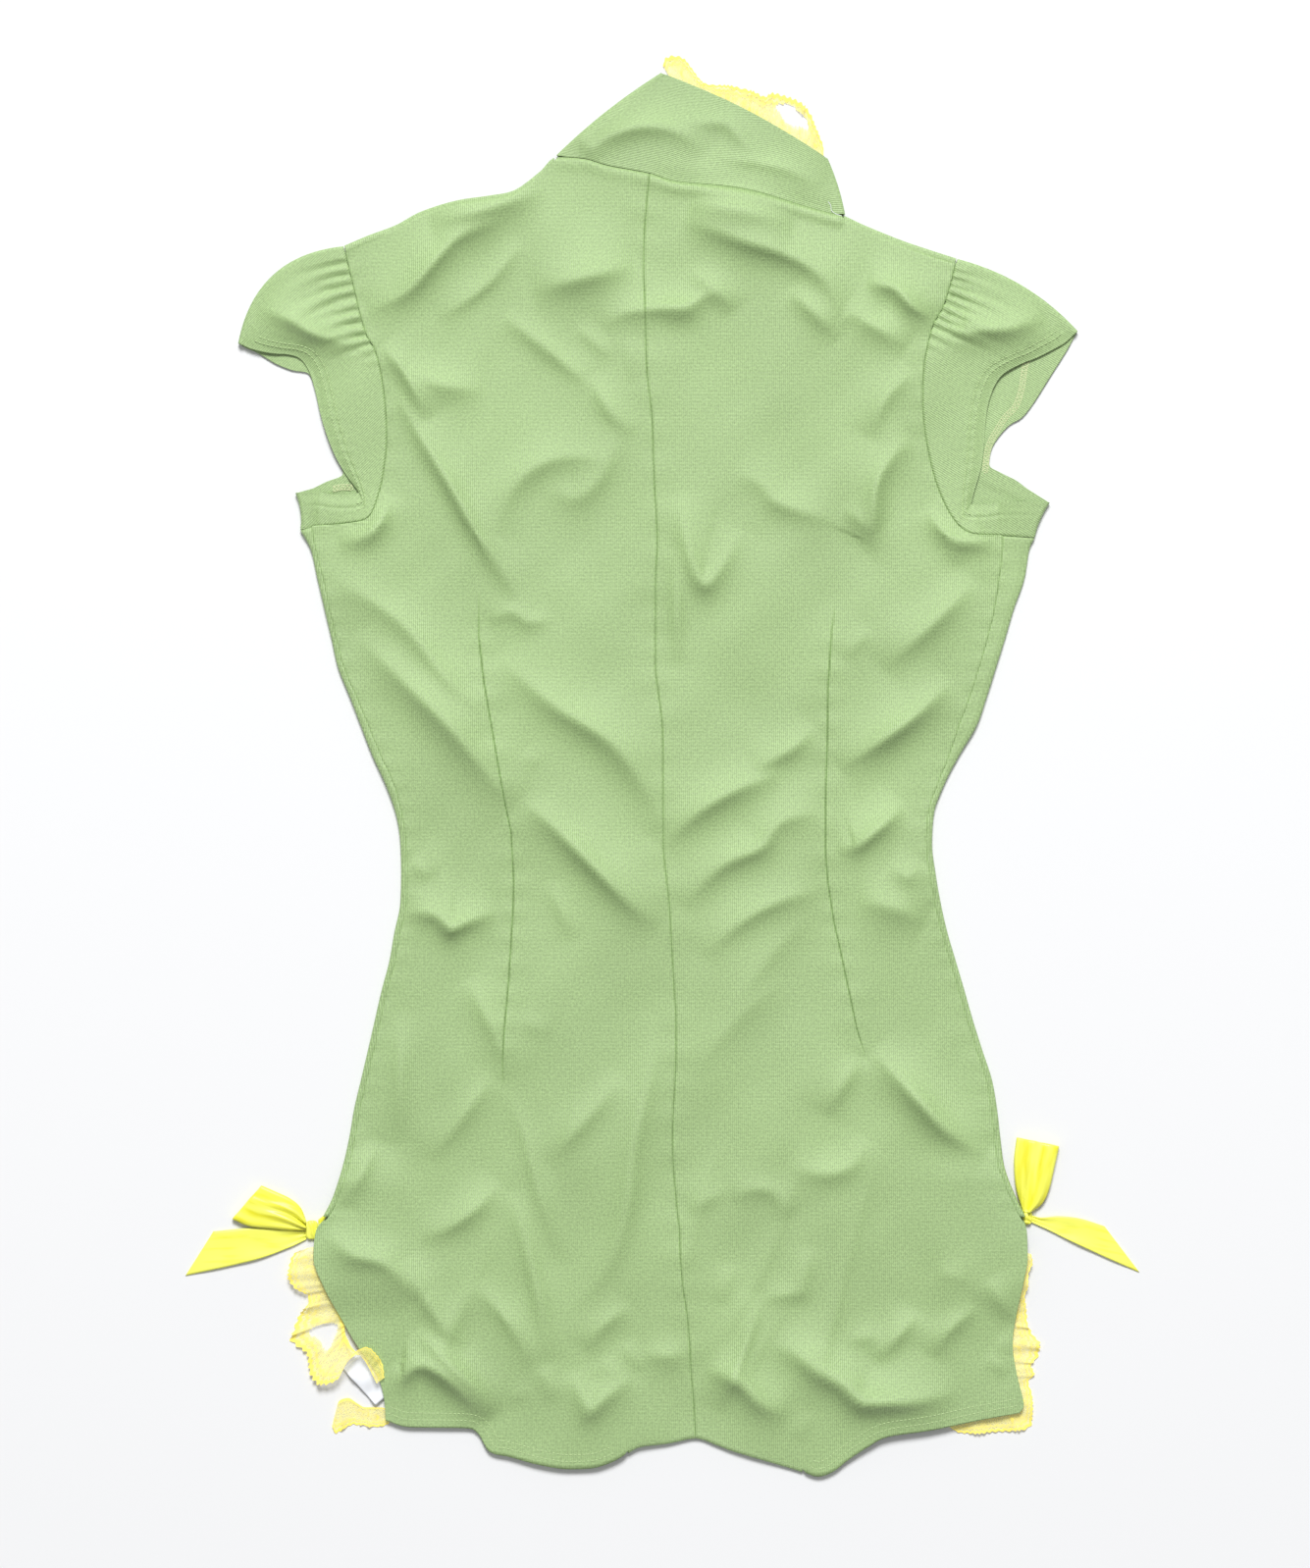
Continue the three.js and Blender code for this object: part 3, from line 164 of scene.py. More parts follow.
SLEEVE_LOWER = {
    LEFT: [
        (-186, 304, -248, 247, 16), (-184, 291, -244, 244.5, 13), (-182, 280, -238, 242, 9),
        (-179, 268, -232, 238.5, 6), (-175, 256, -226, 235, 3), (-171, 243, -217, 231.5, 0),
        (-168, 226, -208, 230, 0), (-165, 206, -203, 219, 0), (-164, 186, -199, 206, 0),
        (-165, 168, -195, 192, 0), (-168, 153, -191, 181, 0), (-175, 142.5, -187, 171, 0),
        (-188, 140.8, -197, 166, 0), (-205, 139.5, -206, 161.5, 0),
    ],
    RIGHT: [
        (172, 296.5, 243, 254, 6.5), (169.5, 287, 241, 250.5, 5), (167, 278, 237.5, 244, 3),
        (163, 268, 233.5, 237.5, 1), (158.5, 259, 229, 230.5, 0), (155, 248, 224, 222.5, 0),
        (152, 234, 218, 213, 0), (151, 216, 211, 204, 0), (151.5, 198, 203, 199, 0),
        (154, 180, 196, 191, 0), (158, 162, 192.5, 184, 0), (164, 146, 191.5, 176, 0),
        (173, 138, 198, 171.5, 0), (186, 135.8, 207, 167, 0), (199, 134.3, 215, 161, 0),
    ],
}

# Creases of the upper layer: the height of the crest, how far the cloth falls away over it and, more
# steeply, below it, and then the line under the crest from left to right
CREASES = [
    # left shoulder and shoulder blade
    (3, 16, 9, (-135, 312), (-101, 319), (-66, 331)),
    (3.2, 12, 6, (-172, 262), (-147, 273), (-126, 296), (-115, 306), (-89, 317)),
    (1.2, 8, 3.5, (-129, 259), (-101, 279), (-80, 305)),
    (3, 16, 9, (-75, 271), (-43, 279), (-14, 287)),
    (2.2, 9, 5, (-33, 252), (-23, 260), (-9, 263), (14, 264.5), (29, 272), (40, 262)),
    (1.6, 8, 6, (-3, 259), (14, 260), (26, 265)),
    (1.5, 6, 4, (-96, 262), (-68, 240), (-43, 218.5)),
    (1, 5, 3.5, (-52, 256), (-32, 236)),
    (1.6, 7, 5, (-45, 226), (-30.5, 201), (-16, 192)),
    (0.8, 5, 3, (-21, 250), (-20, 224)),
    (2.2, 8, 4.5, (-167, 244), (-155, 230), (-144, 210), (-138, 201)),
    (2, 12, 9, (-152, 227), (-129, 216), (-103.5, 213)),
    (3.0, 10, 4.5, (-161, 220), (-144, 190), (-126.5, 161), (-112, 135), (-95, 109), (-80.5, 86)),
    (1.9, 12, 8, (-92, 132), (-85, 155), (-72, 169), (-52, 175), (-30, 172)),
    (1.6, 11, 7.5, (-72, 158), (-50, 151), (-34.5, 162), (-26, 178), (-22, 200)),
    # right shoulder and shoulder blade
    (3, 10, 14, (14, 318), (45, 315), (75, 306)),
    (3.0, 15, 6, (8, 317), (43, 303), (66, 296), (83, 288), (95, 276), (103, 255)),
    (1.2, 6, 4, (14, 287.5), (29, 276), (40, 264.5)),
    (2, 10, 5, (72, 276), (89, 259), (101, 247)),
    (2.4, 12, 8, (103.5, 262), (124, 250), (141, 240)),
    (3.6, 11, 5.5, (118, 278), (132, 276), (144, 264.5), (158, 257)),
    (1.6, 9, 6, (124, 190), (135, 213), (149.5, 227)),
    (3, 11, 6, (121, 122), (126.5, 132), (129, 161), (138, 178), (149.5, 187)),
    (1.8, 9, 5, (103.5, 149.5), (121, 132)),
    (1.6, 11, 6, (40, 167), (55, 161), (66, 149.5), (101, 138)),
    (2.6, 11, 6, (6, 158), (10, 130), (17, 108), (26, 101), (38, 114), (50, 136)),
    (2.6, 8, 5, (152, 150), (160, 136), (172.5, 127), (187, 126.5), (198, 130.5)),
    (1.2, 6, 4, (164, 126.5), (172.5, 115)),
    # left side of the waist
    (2.4, 8, 5, (-190, 126.5), (-172.5, 130), (-162, 140), (-156, 158)),
    (2.4, 12, 8, (-198, 106), (-158, 80.5), (-129, 46), (-101, 20)),
    (4.2, 16, 10, (-184, 72), (-158, 46), (-129, 17), (-106, -11.5), (-92, -32)),
    (3.6, 16, 9, (-101, 60), (-86, 46), (-66, 29), (-32, 6), (-9, -29), (-3, -40)),
    (4, 12, 6.5, (-86, -23), (-66, -40), (-43, -63), (-20, -86), (-3, -98)),
    (1.5, 7, 5, (-101, 80.5), (-89, 86), (-78, 80.5), (-63, 82)),
    (1.2, 5, 4, (-83, 6), (-75, -3)),
    (1, 6, 4, (-69, -69), (-55, -103.5)),
    (1.8, 8, 4, (-149.5, -56), (-138, -69)),
    (3.4, 10, 5.5, (-152, -89), (-135, -91), (-124, -99.5), (-112, -95), (-95, -89)),
    # right side of the waist
    (1.6, 5, 5, (4, 127), (5, 92), (6, 58)),
    (4, 12, 7, (106, -6), (129, 9), (152, 26), (172.5, 46)),
    (3, 14, 8, (132, 52), (158, 75), (187, 103.5)),
    (1.5, 8, 5, (109, 60), (124, 78)),
    (2.2, 11, 6, (55, -6), (78, 6), (92, 20)),
    (3, 12, 7, (3, -52), (20, -34.5), (43, -20), (72, -9)),
    (2.8, 11, 6.5, (14, -86), (37, -63), (60, -52), (72, -37), (95, -32)),
    (2, 11, 6, (26, -115), (49, -95), (72, -83), (95, -78)),
    (3.2, 10, 5.5, (101, -52), (112, -52), (129, -40), (144, -26)),
    (2, 10, 7, (129, -62), (144, -70), (155, -57.5)),
    (2.4, 14, 10, (112, -86), (132, -90), (152, -98)),
    # left hip and leg
    (1.5, 9, 7, (-159, -144), (-158, -172.5), (-158, -221)),
    (2, 9, 6, (-184, -259), (-172.5, -241.5), (-164, -221)),
    (1.5, 9, 6, (-118, -126.5), (-101, -161), (-94, -184)),
    (1.2, 9, 6, (-86, -152), (-66, -161)),
    (1.5, 9, 6, (-135, -233), (-121, -218.5), (-106, -198), (-95, -184)),
    (1.2, 6, 4, (-93, -191), (-83, -218.5), (-75, -250), (-66, -276), (-57.5, -293)),
    (1.6, 11, 7, (-66, -236), (-43, -213), (-20, -184)),
    (2.5, 11, 8, (-57.5, -328), (-43, -316), (-26, -293), (-15.5, -259), (-11.5, -224),
     (-3, -184), (0, -144)),
    (2, 10, 6, (-141, -282), (-121, -273), (-106, -262), (-92, -247)),
    (2, 8, 5, (-92, -250), (-83, -282), (-75, -316), (-69, -351)),
    (2.6, 10, 7, (-201, -275), (-184, -290), (-164, -296), (-147, -316)),
    (2.2, 9, 6, (-155, -290), (-141, -316), (-126.5, -336), (-115, -342)),
    (2.6, 10, 6, (-147, -333.5), (-129, -351), (-112, -368), (-102, -385)),
    (3.6, 9, 6, (-161, -354), (-152, -362), (-141, -355), (-132, -359), (-115, -374), (-106, -385)),
    (1.6, 8, 5, (-112, -305), (-89, -333.5), (-78, -356.5)),
    (1.6, 7, 4.5, (-75, -351), (-66, -374)),
    (2.6, 9, 5.5, (-57.5, -356.5), (-49, -374), (-43, -382), (-29, -371), (-14, -359)),
    (1.2, 6, 4, (-89, -374), (-75, -368)),
    (2, 9, 5.5, (-43, -345), (-32, -331), (-17, -319)),
    (1.4, 6, 4, (-37, -348), (-29, -362)),
    (1.4, 7, 4, (-26, -339), (-14, -356.5)),
    (2.2, 10, 9, (-14, -350), (3, -352), (17, -350)),
    # right hip and leg
    (4.4, 11, 7.5, (119, -171), (129, -181), (147, -201), (164, -218.5), (187, -233)),
    (2, 9, 5.5, (98, -207), (112, -184), (119, -172.5)),
    (1.8, 10, 7, (72, -239), (95, -244), (112, -239), (124, -221)),
    (1.4, 8, 5.5, (43, -259), (52, -252), (60, -252), (72, -267)),
    (1.2, 8, 5, (17, -264.5), (40, -250)),
    (1.8, 7, 4, (34.5, -379.5), (43, -362), (52, -339), (60, -310.5)),
    (1.2, 7, 5, (83, -316), (89, -282)),
    (1.2, 7, 4, (37, -316), (43, -293)),
    (1.4, 9, 5, (57.5, -316), (89, -310.5)),
    (5, 13, 6.5, (60, -342), (75, -348), (86, -356.5), (101, -365), (118, -377), (141, -377), (175, -371)),
    (1.5, 6, 4, (83, -356.5), (95, -339)),
    (1.2, 5, 3, (109, -365), (118, -359)),
    (2.4, 9, 5.5, (126.5, -351), (141, -336), (152, -322)),
    (2.4, 9, 5.5, (161, -348), (170, -333.5), (187, -319)),
    (1.8, 8, 4.5, (187, -302), (195.5, -316), (204, -328)),
    (1.6, 7, 4, (193, -339), (204, -345)),
    (1.6, 7, 4, (187, -348), (201, -359)),
    (1.4, 9, 5.5, (158, -299), (178, -305)),
    (1.4, 7, 5, (106, -340), (129, -337)),
    (3.4, 9, 6.5, (23, -356.5), (43, -365), (55, -377), (72, -385)),
    (1.2, 6, 4, (80.5, -397), (89, -379.5)),
    (0.6, 5, 4, (10, -316), (20, -276), (31, -236), (44, -221)),
    (0.6, 6, 4.5, (25, -353), (45, -325), (61, -297), (78, -252), (93, -208)),
    (0.6, 5, 4, (44, -369), (63, -338), (78, -308)),
    (0.7, 6, 4.5, (82, -387), (99, -338), (114, -278), (129, -229)),
    (0.5, 6, 4.5, (-136, -366), (-120, -330), (-104, -296), (-96, -268)),
    (0.5, 7, 5, (-60, -250), (-48, -200), (-44, -150)),
    (0.6, 8, 6, (40, -150), (70, -110), (92, -90)),
    (0.6, 8, 6, (20, -185), (48, -150), (75, -128)),
    (0.5, 7, 5, (-140, -40), (-128, -84), (-120, -120)),
    # sleeves
    (3.6, 13, 6.5, (-238, 264), (-220, 256), (-200, 246), (-176, 244)),
    (3.4, 12, 7, (163, 255), (178, 249), (202, 250), (226, 259)),
    # collar
    (2.2, 9, 6.5, (-46, 352), (-28, 364), (-8, 369), (8, 366), (22, 354)),
    (1.1, 3.5, 3, (-52, 371), (-46, 362), (-39, 353)),
    (1.2, 8, 6, (8, 372), (32, 372), (44, 362), (54, 350)),
    (1.0, 7, 6, (28, 352), (44, 350), (70, 345), (92, 334)),
]

# Shortest length that still gives a direction, welding distance in metres and columns beside an edge
LEAST_LENGTH = 0.01
WELD = 0.00001
EDGE_STEPS = (0, 0.4, 0.9, 1.6, 2.6)

# Where a hidden half bow lies under the front: its low and high corners
HIDDEN_BOWS = [((-215, -300), (-165, -250)), ((170, -300), (225, -245))]


def line_at(table, places):
    """Points of a soft line through a table's rows at given row places, without swinging past them."""
    table = np.asarray(table, float)
    steps = np.diff(table, axis=0)
    before = np.concatenate([steps[:1], steps])
    after = np.concatenate([steps, steps[-1:]])
    course = (before + after) / 2
    shorter = 2 * np.minimum(np.abs(before), np.abs(after))
    course = np.where(before * after > 0, np.sign(course) * np.minimum(np.abs(course), shorter), 0)
    first = np.clip(places.astype(int), 0, len(table) - 2)
    share = (places - first)[:, None]
    start, end = table[first], table[first + 1]
    leave, arrive = course[first], course[first + 1]
    return (
        start * (1 + 2 * share) * (1 - share) ** 2
        + end * (3 - 2 * share) * share**2
        + leave * share * (1 - share) ** 2
        - arrive * share**2 * (1 - share)
    )


def smooth(points, count):
    """Points along a soft line through the given ones, evenly spaced by their row numbers."""
    return line_at(points, np.linspace(0, len(points) - 1, count))


def walked(points):
    """Distance walked along a line of points."""
    return np.r_[0, np.cumsum(np.linalg.norm(np.diff(points, axis=0), axis=1))]


def even(points, count):
    """Points along a soft line through the given ones, the same distance apart."""
    fine = smooth(points, 40 * len(points))
    way = walked(fine)
    stops = np.linspace(0, way[-1], count)
    return np.stack([np.interp(stops, way, column) for column in fine.T], axis=1)


def unit(vectors):
    """Vectors made one long; those below the least length stay shorter."""
    return vectors / np.maximum(np.linalg.norm(vectors, axis=-1, keepdims=True), LEAST_LENGTH)


def leftward(ways):
    """Directions turned a quarter to the left."""
    return np.stack([-ways[..., 1], ways[..., 0]], axis=-1)


def bell(distance, width):
    """One at a line, fading out on both sides of it."""
    return np.exp(-((distance / width) ** 2))


def soft_step(distance, softness):
    """Grows from nothing to one where the distance passes zero."""
    return 1 / (1 + np.exp(-distance / softness))


# Creases shorter than this stand lower than long ones of the same height in the table
CREASE_LENGTH = 48.0
CREASE_GAIN = 2.4
# Shape of a crest: its place over the line, its fading on both sides and at its ends, and its softness
CREST_PLACE = 0.7
ABOVE_FADE, BELOW_FADE = 1.05, 0.85
END_SPREAD, END_TAPER = 0.6, 1.1
CREST_SOFTNESS = 0.22
CREASE_REACH = 4


def crease_path(height, above, below, *line):
    """Fine points of a crease's line and the height of its crest in the laid cloth."""
    path = even(line, 6 * len(line))
    return path, height * CREASE_GAIN * min(1.0, walked(path)[-1] / CREASE_LENGTH), above, below


CREASE_PATHS = [crease_path(*crease_row) for crease_row in CREASES]


def crease(x, y, path, height, above, below):
    """A crest that fades out over it and falls steeply to its line, which runs from left to right."""
    reach = CREASE_REACH * max(above, below)
    low, high = path.min(axis=0) - reach, path.max(axis=0) + reach
    near = (x > low[0]) & (x < high[0]) & (y > low[1]) & (y < high[1])
    total = np.zeros(x.shape)
    px, py = x[near], y[near]
    if not px.size:
        return total
    least = np.full(px.shape, np.inf)
    side, along = np.zeros(px.shape), np.zeros(px.shape)
    for k, (start, end) in enumerate(zip(path[:-1], path[1:])):
        step = end - start
        share = np.clip(((px - start[0]) * step[0] + (py - start[1]) * step[1]) / (step @ step), 0, 1)
        dx = px - start[0] - share * step[0]
        dy = py - start[1] - share * step[1]
        away = dx**2 + dy**2
        closer = away < least
        least = np.where(closer, away, least)
        side = np.where(closer, np.sign(step[0] * dy - step[1] * dx), side)
        along = np.where(closer, (k + share) / (len(path) - 1), along)
    distance = np.sqrt(least) * side - CREST_PLACE * below
    spread = 1 + END_SPREAD * (2 * along - 1) ** 2
    width = np.where(distance > 0, above * ABOVE_FADE, below * BELOW_FADE) * spread
    soft = CREST_SOFTNESS * below
    crest = np.exp((soft - np.hypot(distance, soft)) / width)
    ends = np.sin(np.pi * along) ** END_TAPER
    total[near] = height * ends * np.clip(1 - least / reach**2, 0, 1) ** 2 * crest
    return total


# Waves of laid cloth: how long across and down, how high and where they start
WAVES = (
    (31, 24, 0.55, 0.0), (-17, 25, 0.45, 1.7), (13, -16, 0.22, 4.1), (8, 10, 0.1, 2.6),
    (5.5, -9, 0.06, 3.9), (-7, 5.0, 0.05, 5.2),
)
# How far and over which length the waves bend across and down
WAVE_BENDS = (1.3, 47), (1.1, 61)


def ripple(x, y):
    """Small unevenness of laid cloth, from a few slanting waves that bend."""
    total = np.zeros(x.shape)
    (bend_x, length_x), (bend_y, length_y) = WAVE_BENDS
    for across, down, height, phase in WAVES:
        bend = bend_x * np.sin(x / length_x + phase) + bend_y * np.sin(y / length_y + 2 * phase)
        total += height * np.sin(x / across + y / down + phase + bend)
    return total


def lift(x, y):
    """How much the hidden half bows lift the cloth."""
    most = np.zeros(np.shape(x))
    for low, high in HIDDEN_BOWS:
        beside_x = np.maximum(np.maximum(low[0] - x, x - high[0]), 0)
        beside_y = np.maximum(np.maximum(low[1] - y, y - high[1]), 0)
        away = np.minimum(np.hypot(beside_x, beside_y) / LIFT_FADE, 1)
        most = np.maximum(most, BOW_LIFT * (0.5 + 0.5 * np.cos(np.pi * away)))
    return most


def upper(plan):
    """Height of the upper layer's middle over each plan place."""
    x, y = plan[..., 0], plan[..., 1]
    height = UPPER_LEVEL + ripple(x, y)
    for path, crest, above, below in CREASE_PATHS:
        height = height + crease(x, y, path, crest, above, below)
    return np.maximum(height, LEAST_UPPER) + lift(x, y)


def lower(plan):
    """Height of the lower layer's middle over each plan place."""
    return LOWER_LEVEL + lift(plan[..., 0], plan[..., 1])


def middle(plan):
    """Height of what lies between the layers."""
    return BETWEEN_LEVEL + lift(plan[..., 0], plan[..., 1])


def raised(plan, height):
    """Plan places with their heights."""
    return np.concatenate([plan, np.broadcast_to(height, plan.shape[:-1])[..., None]], axis=-1)


def beside(points, distance):
    """A line moved sideways, to the left of its own direction."""
    return points + distance * leftward(unit(np.gradient(points, axis=0)))


def fine_edges(width, step, edge=EDGE_STEPS):
    """Shares of a width at which columns stand, closer together at both ends."""
    edge = np.array(edge)
    inner = np.linspace(edge[-1], width - edge[-1], max(int((width - 2 * edge[-1]) / step), 2) + 1)
    return np.r_[edge[:-1], inner, (width - edge[:-1])[::-1]] / width


def refined(near, far, step):
    """Row places between the rows of two edge tables, so that both edges get short steps."""
    places = [0.0]
    for k in range(len(near) - 1):
        longest = max(np.linalg.norm(near[k + 1] - near[k]), np.linalg.norm(far[k + 1] - far[k]))
        parts = max(int(math.ceil(longest / step)), 1)
        places += [k + (part + 1) / parts for part in range(parts)]
    return np.array(places)


def height_at(table, x):
    """Height of an outline table at each x."""
    table = even(table, 12 * len(table))
    return np.interp(x, table[:, 0], table[:, 1])


class Signal:
    """A shader socket whose arithmetic adds Math nodes."""

    def __init__(self, finish, socket):
        self.finish = finish
        self.socket = socket

    def _math(self, operation, *values):
        return self.finish.node("ShaderNodeMath", {"operation": operation}, *values)

    def __add__(self, other):
        return self._math("ADD", self, other)

    __radd__ = __add__

    def __sub__(self, other):
        return self._math("SUBTRACT", self, other)

    def __rsub__(self, other):
        return self._math("SUBTRACT", other, self)

    def __mul__(self, other):
        return self._math("MULTIPLY", self, other)

    __rmul__ = __mul__

    def __lt__(self, other):
        return self._math("LESS_THAN", self, other)

    def __gt__(self, other):
        return self._math("GREATER_THAN", self, other)

    def sine(self):
        return self._math("SINE", self)

    def size(self):
        return self._math("ABSOLUTE", self)

    def at_least(self, other):
        return self._math("MAXIMUM", self, other)

    def clamped(self):
        return self._math("MINIMUM", self.at_least(0.0), 1.0)


class Finish:
    """A material under construction."""

    def __init__(self, name, color):
        self.material = bpy.data.materials.new(name)
        self.material.use_nodes = True
        self.material.diffuse_color = (*color[:3], 1)
        self.tree = self.material.node_tree
        self.tree.nodes.clear()

    def node(self, kind, settings, *values, output=0, **named):
        """Adds a node: its settings first, then its sockets by order or by name."""
        made = self.tree.nodes.new(kind)
        for key, value in settings.items():
            setattr(made, key, value)
        sockets = list(zip(made.inputs, values))
        sockets += [(made.inputs[key.replace("_", " ")], value) for key, value in named.items()]
        for socket, value in sockets:
            if isinstance(value, Signal):
                self.tree.links.new(value.socket, socket)
            elif value is not None:
                socket.default_value = value
        return Signal(self, made.outputs[output]) if made.outputs else None

    def mixed(self, share, first, second):
        """A colour between two others."""
        skipped = [None] * 5
        return self.node("ShaderNodeMix", {"data_type": "RGBA"}, share, *skipped, first, second, output=2)

    def grain(self):
        """Place on the cloth in millimetres: as a vector, across the ribs and along them."""
        place = self.node("ShaderNodeUVMap", {"uv_map": "grain"})
        return place, *(self.node("ShaderNodeSeparateXYZ", {}, place, output=k) for k in (0, 1))

    def noise(self, place, scale, detail=2.0):
        return self.node("ShaderNodeTexNoise", {}, Vector=place, Scale=scale, Detail=detail)

    def bump(self, strength, distance, height):
        return self.node("ShaderNodeBump", {}, Strength=strength, Distance=distance, Height=height)

    def done(self, **surface):
        """The material, with a surface of these values."""
        shader = self.node("ShaderNodeBsdfPrincipled", {}, **surface)
        self.node("ShaderNodeOutputMaterial", {}, Surface=shader)
        return self.material


def shade(color, share):
    """A colour made lighter or darker."""
    return tuple(channel * share for channel in color[:3]) + (1.0,)


KNIT_GREEN = (0.330, 0.474, 0.202, 1.0)
THREAD_GREEN = (0.46, 0.61, 0.29, 1.0)
OVERLOCK_GREEN = (0.54, 0.62, 0.33, 1.0)
RIBBON_YELLOW = (0.97, 0.99, 0.14, 1.0)
# Painted shade: the darker golden colour of the ribbons' streaks, standing in for shade in their creases
RIBBON_PAINTED_SHADE = (0.80, 0.76, 0.02, 1.0)
# Painted light: a faint yellow glow that the lace gives off, standing in for light shining through it
LACE_PAINTED_GLOW = (1.0, 0.90, 0.36, 1.0)
LACE_YELLOW = (1.0, 0.82, 0.10, 1.0)
LACE_PALE = (1.0, 0.93, 0.30, 1.0)
LABEL_WHITE = (0.86, 0.88, 0.92, 1.0)
RIB_PITCH = 1.15
COURSE_PITCH = 0.8
SATIN_PITCH = 0.5
LABEL_PITCH = 0.45


def knit_finish():
    """Fine ribbed knit with a soft satin sheen."""
    finish = Finish("green rib knit", KNIT_GREEN)
    place, across, along = finish.grain()
    wander = finish.noise(place, 0.09) * 0.9
    rib = (across * (2 * math.pi / RIB_PITCH) + wander * 2.0).sine()
    course = (along * (2 * math.pi / COURSE_PITCH) + rib * 0.8).sine()
    fleck = finish.noise(place, 0.75, 3.0)
    cloud = finish.noise(place, 0.012, 3.0)
    tone = 0.5 + rib * 0.26 + course * 0.14 + (fleck - 0.5) * 1.9 + (cloud - 0.5) * 0.45
    return finish.done(
        Base_Color=finish.mixed(tone.clamped(), shade(KNIT_GREEN, 0.76), shade(KNIT_GREEN, 1.25)),
        Roughness=0.52 + (fleck - 0.5) * 0.12,
        Normal=finish.bump(0.6, 0.0002, rib * 0.5 + course * 0.25 + fleck * 0.9),
        Specular_IOR_Level=0.7,
        Sheen_Weight=0.12,
        Sheen_Roughness=0.4,
        Sheen_Tint=(0.85, 1.0, 0.75, 1.0),
    )


def thread_finish(name, thread_color):
    """Twisted sewing thread."""
    finish = Finish(name, thread_color)
    twist = finish.noise(finish.node("ShaderNodeTexCoord", {}, output=3), 2400.0)
    color = finish.mixed(twist, shade(thread_color, 0.8), shade(thread_color, 1.2))
    return finish.done(Base_Color=color, Roughness=0.55, Sheen_Weight=0.2)


def ribbon_finish(name, painted_shade_amount):
    """Smooth satin ribbon with fine lines across it and painted shade: golden streaks along it that stand in
    for the shade in its creases.
    """
    finish = Finish(name, RIBBON_YELLOW)
    place, _, along = finish.grain()
    drawn = finish.node("ShaderNodeVectorMath", {"operation": "MULTIPLY"}, place, (0.22, 0.03, 1.0))
    painted_shade_streak = finish.noise(drawn, 1.0)
    return finish.done(
        # Painted shade: where the stretched noise is low the ribbon turns darker golden; a larger amount
        # paints more of it
        Base_Color=finish.mixed((painted_shade_streak * 3.4 - painted_shade_amount).clamped(), RIBBON_PAINTED_SHADE, RIBBON_YELLOW),
        Roughness=0.30 + finish.noise(place, 0.06) * 0.1,
        Normal=finish.bump(0.15, 0.00004, (along * (2 * math.pi / SATIN_PITCH)).sine()),
        Specular_IOR_Level=0.5,
        Sheen_Weight=0.2,
    )


LACE_WIDTH = 14.0
NET_PITCH = 1.3
FLOWER_PITCH = 6.0
SCALLOP_PITCH = 3.1


def lace_finish():
    """Yellow lace: a fine sheer net, denser flower shapes and a scalloped cord along the free edge, with a
    faint painted glow that stands in for light shining through it.
    """
    finish = Finish("yellow lace", LACE_YELLOW)
    place, along, across = finish.grain()
    cells = finish.node(
        "ShaderNodeTexVoronoi", {"feature": "DISTANCE_TO_EDGE"}, Vector=place, Scale=1 / NET_PITCH,
    )
    flowers = finish.node("ShaderNodeTexVoronoi", {"feature": "F1"}, Vector=place, Scale=1 / FLOWER_PITCH)
    cloud = finish.noise(place, 0.22, 3.0)
    petals = (flowers < 0.42) * (flowers > 0.2) * 0.4 + (cloud * 5 - 2.2).clamped() * 0.45
    edge = LACE_WIDTH - 1.2 + (along * (2 * math.pi / SCALLOP_PITCH)).sine() * 0.35
    cord = ((across - edge).size() < 0.7) * 0.95
    second_cord = ((across - edge + 2.4).size() < 0.5) * 0.75
    sewn = (across < 1.2) * 0.9
    dense = cord.at_least(petals).at_least(second_cord).at_least(sewn)
    net = (cells < 0.16) * 0.26 + 0.34
    cover = net.at_least(dense) * (1 - (across > edge + 0.6))
    return finish.done(
        Base_Color=finish.mixed((dense * 0.8 + cloud * 0.3).clamped(), LACE_PALE, LACE_YELLOW),
        Roughness=0.6,
        Alpha=cover.clamped(),
        Sheen_Weight=0.3,
        # Painted light: the lace glows faintly though it is no lamp
        Emission_Color=LACE_PAINTED_GLOW,
        Emission_Strength=0.10,
    )


def label_finish():
    """Blank white satin tape."""
    finish = Finish("white satin label", LABEL_WHITE)
    place, _, along = finish.grain()
    cloud = finish.noise(place, 0.12)
    return finish.done(
        Base_Color=finish.mixed(cloud, shade(LABEL_WHITE, 0.95), shade(LABEL_WHITE, 1.03)),
        Roughness=0.42,
        Normal=finish.bump(0.2, 0.00004, (along * (2 * math.pi / LABEL_PITCH)).sine()),
    )


FINISHES = {
    "knit": knit_finish(),
    "thread": thread_finish("green thread", THREAD_GREEN),
    "overlock": thread_finish("pale overlock thread", OVERLOCK_GREEN),
    # The bows' loops and knots get more painted shade than the tails
    "ribbon": ribbon_finish("yellow satin ribbon", 0.6),
    "loop": ribbon_finish("yellow satin bow", 1.15),
    "lace": lace_finish(),
    "label": label_finish(),
}


def cloth(name, grid, grain, wall, finish, nodes, ring=False):
    """A thin shell on a grid of middle points in millimetres; grid places without a number are left out.
    grain gives the place on the flat cloth of each point."""
    if ring:
        grid = np.concatenate([grid, grid[:, :1]], axis=1)
        grain = np.concatenate([grain, grain[:, -1:] + (grain[:, -1:] - grain[:, -2:-1])], axis=1)
    rows, columns = grid.shape[:2]
    shell = bmesh.new()
    bmesh.ops.create_grid(shell, x_segments=columns - 1, y_segments=rows - 1, size=1.0)
    uv = shell.loops.layers.uv.new("grain")
    gone, flat = [], {}
    for vert in shell.verts:
        column = round((vert.co.x + 1) / 2 * (columns - 1))
        row = round((vert.co.y + 1) / 2 * (rows - 1))
        flat[vert] = grain[row, column]
        here = grid[row, column]
        if math.isnan(here[0]):
            gone.append(vert)
        else:
            vert.co = Vector(here) * MM
    for face in shell.faces:
        for loop in face.loops:
            loop[uv].uv = flat[loop.vert]
    bmesh.ops.delete(shell, geom=gone, context="VERTS")
    if ring:
        bmesh.ops.remove_doubles(shell, verts=shell.verts, dist=WELD)
    return finished(name, shell, finish, wall, nodes)


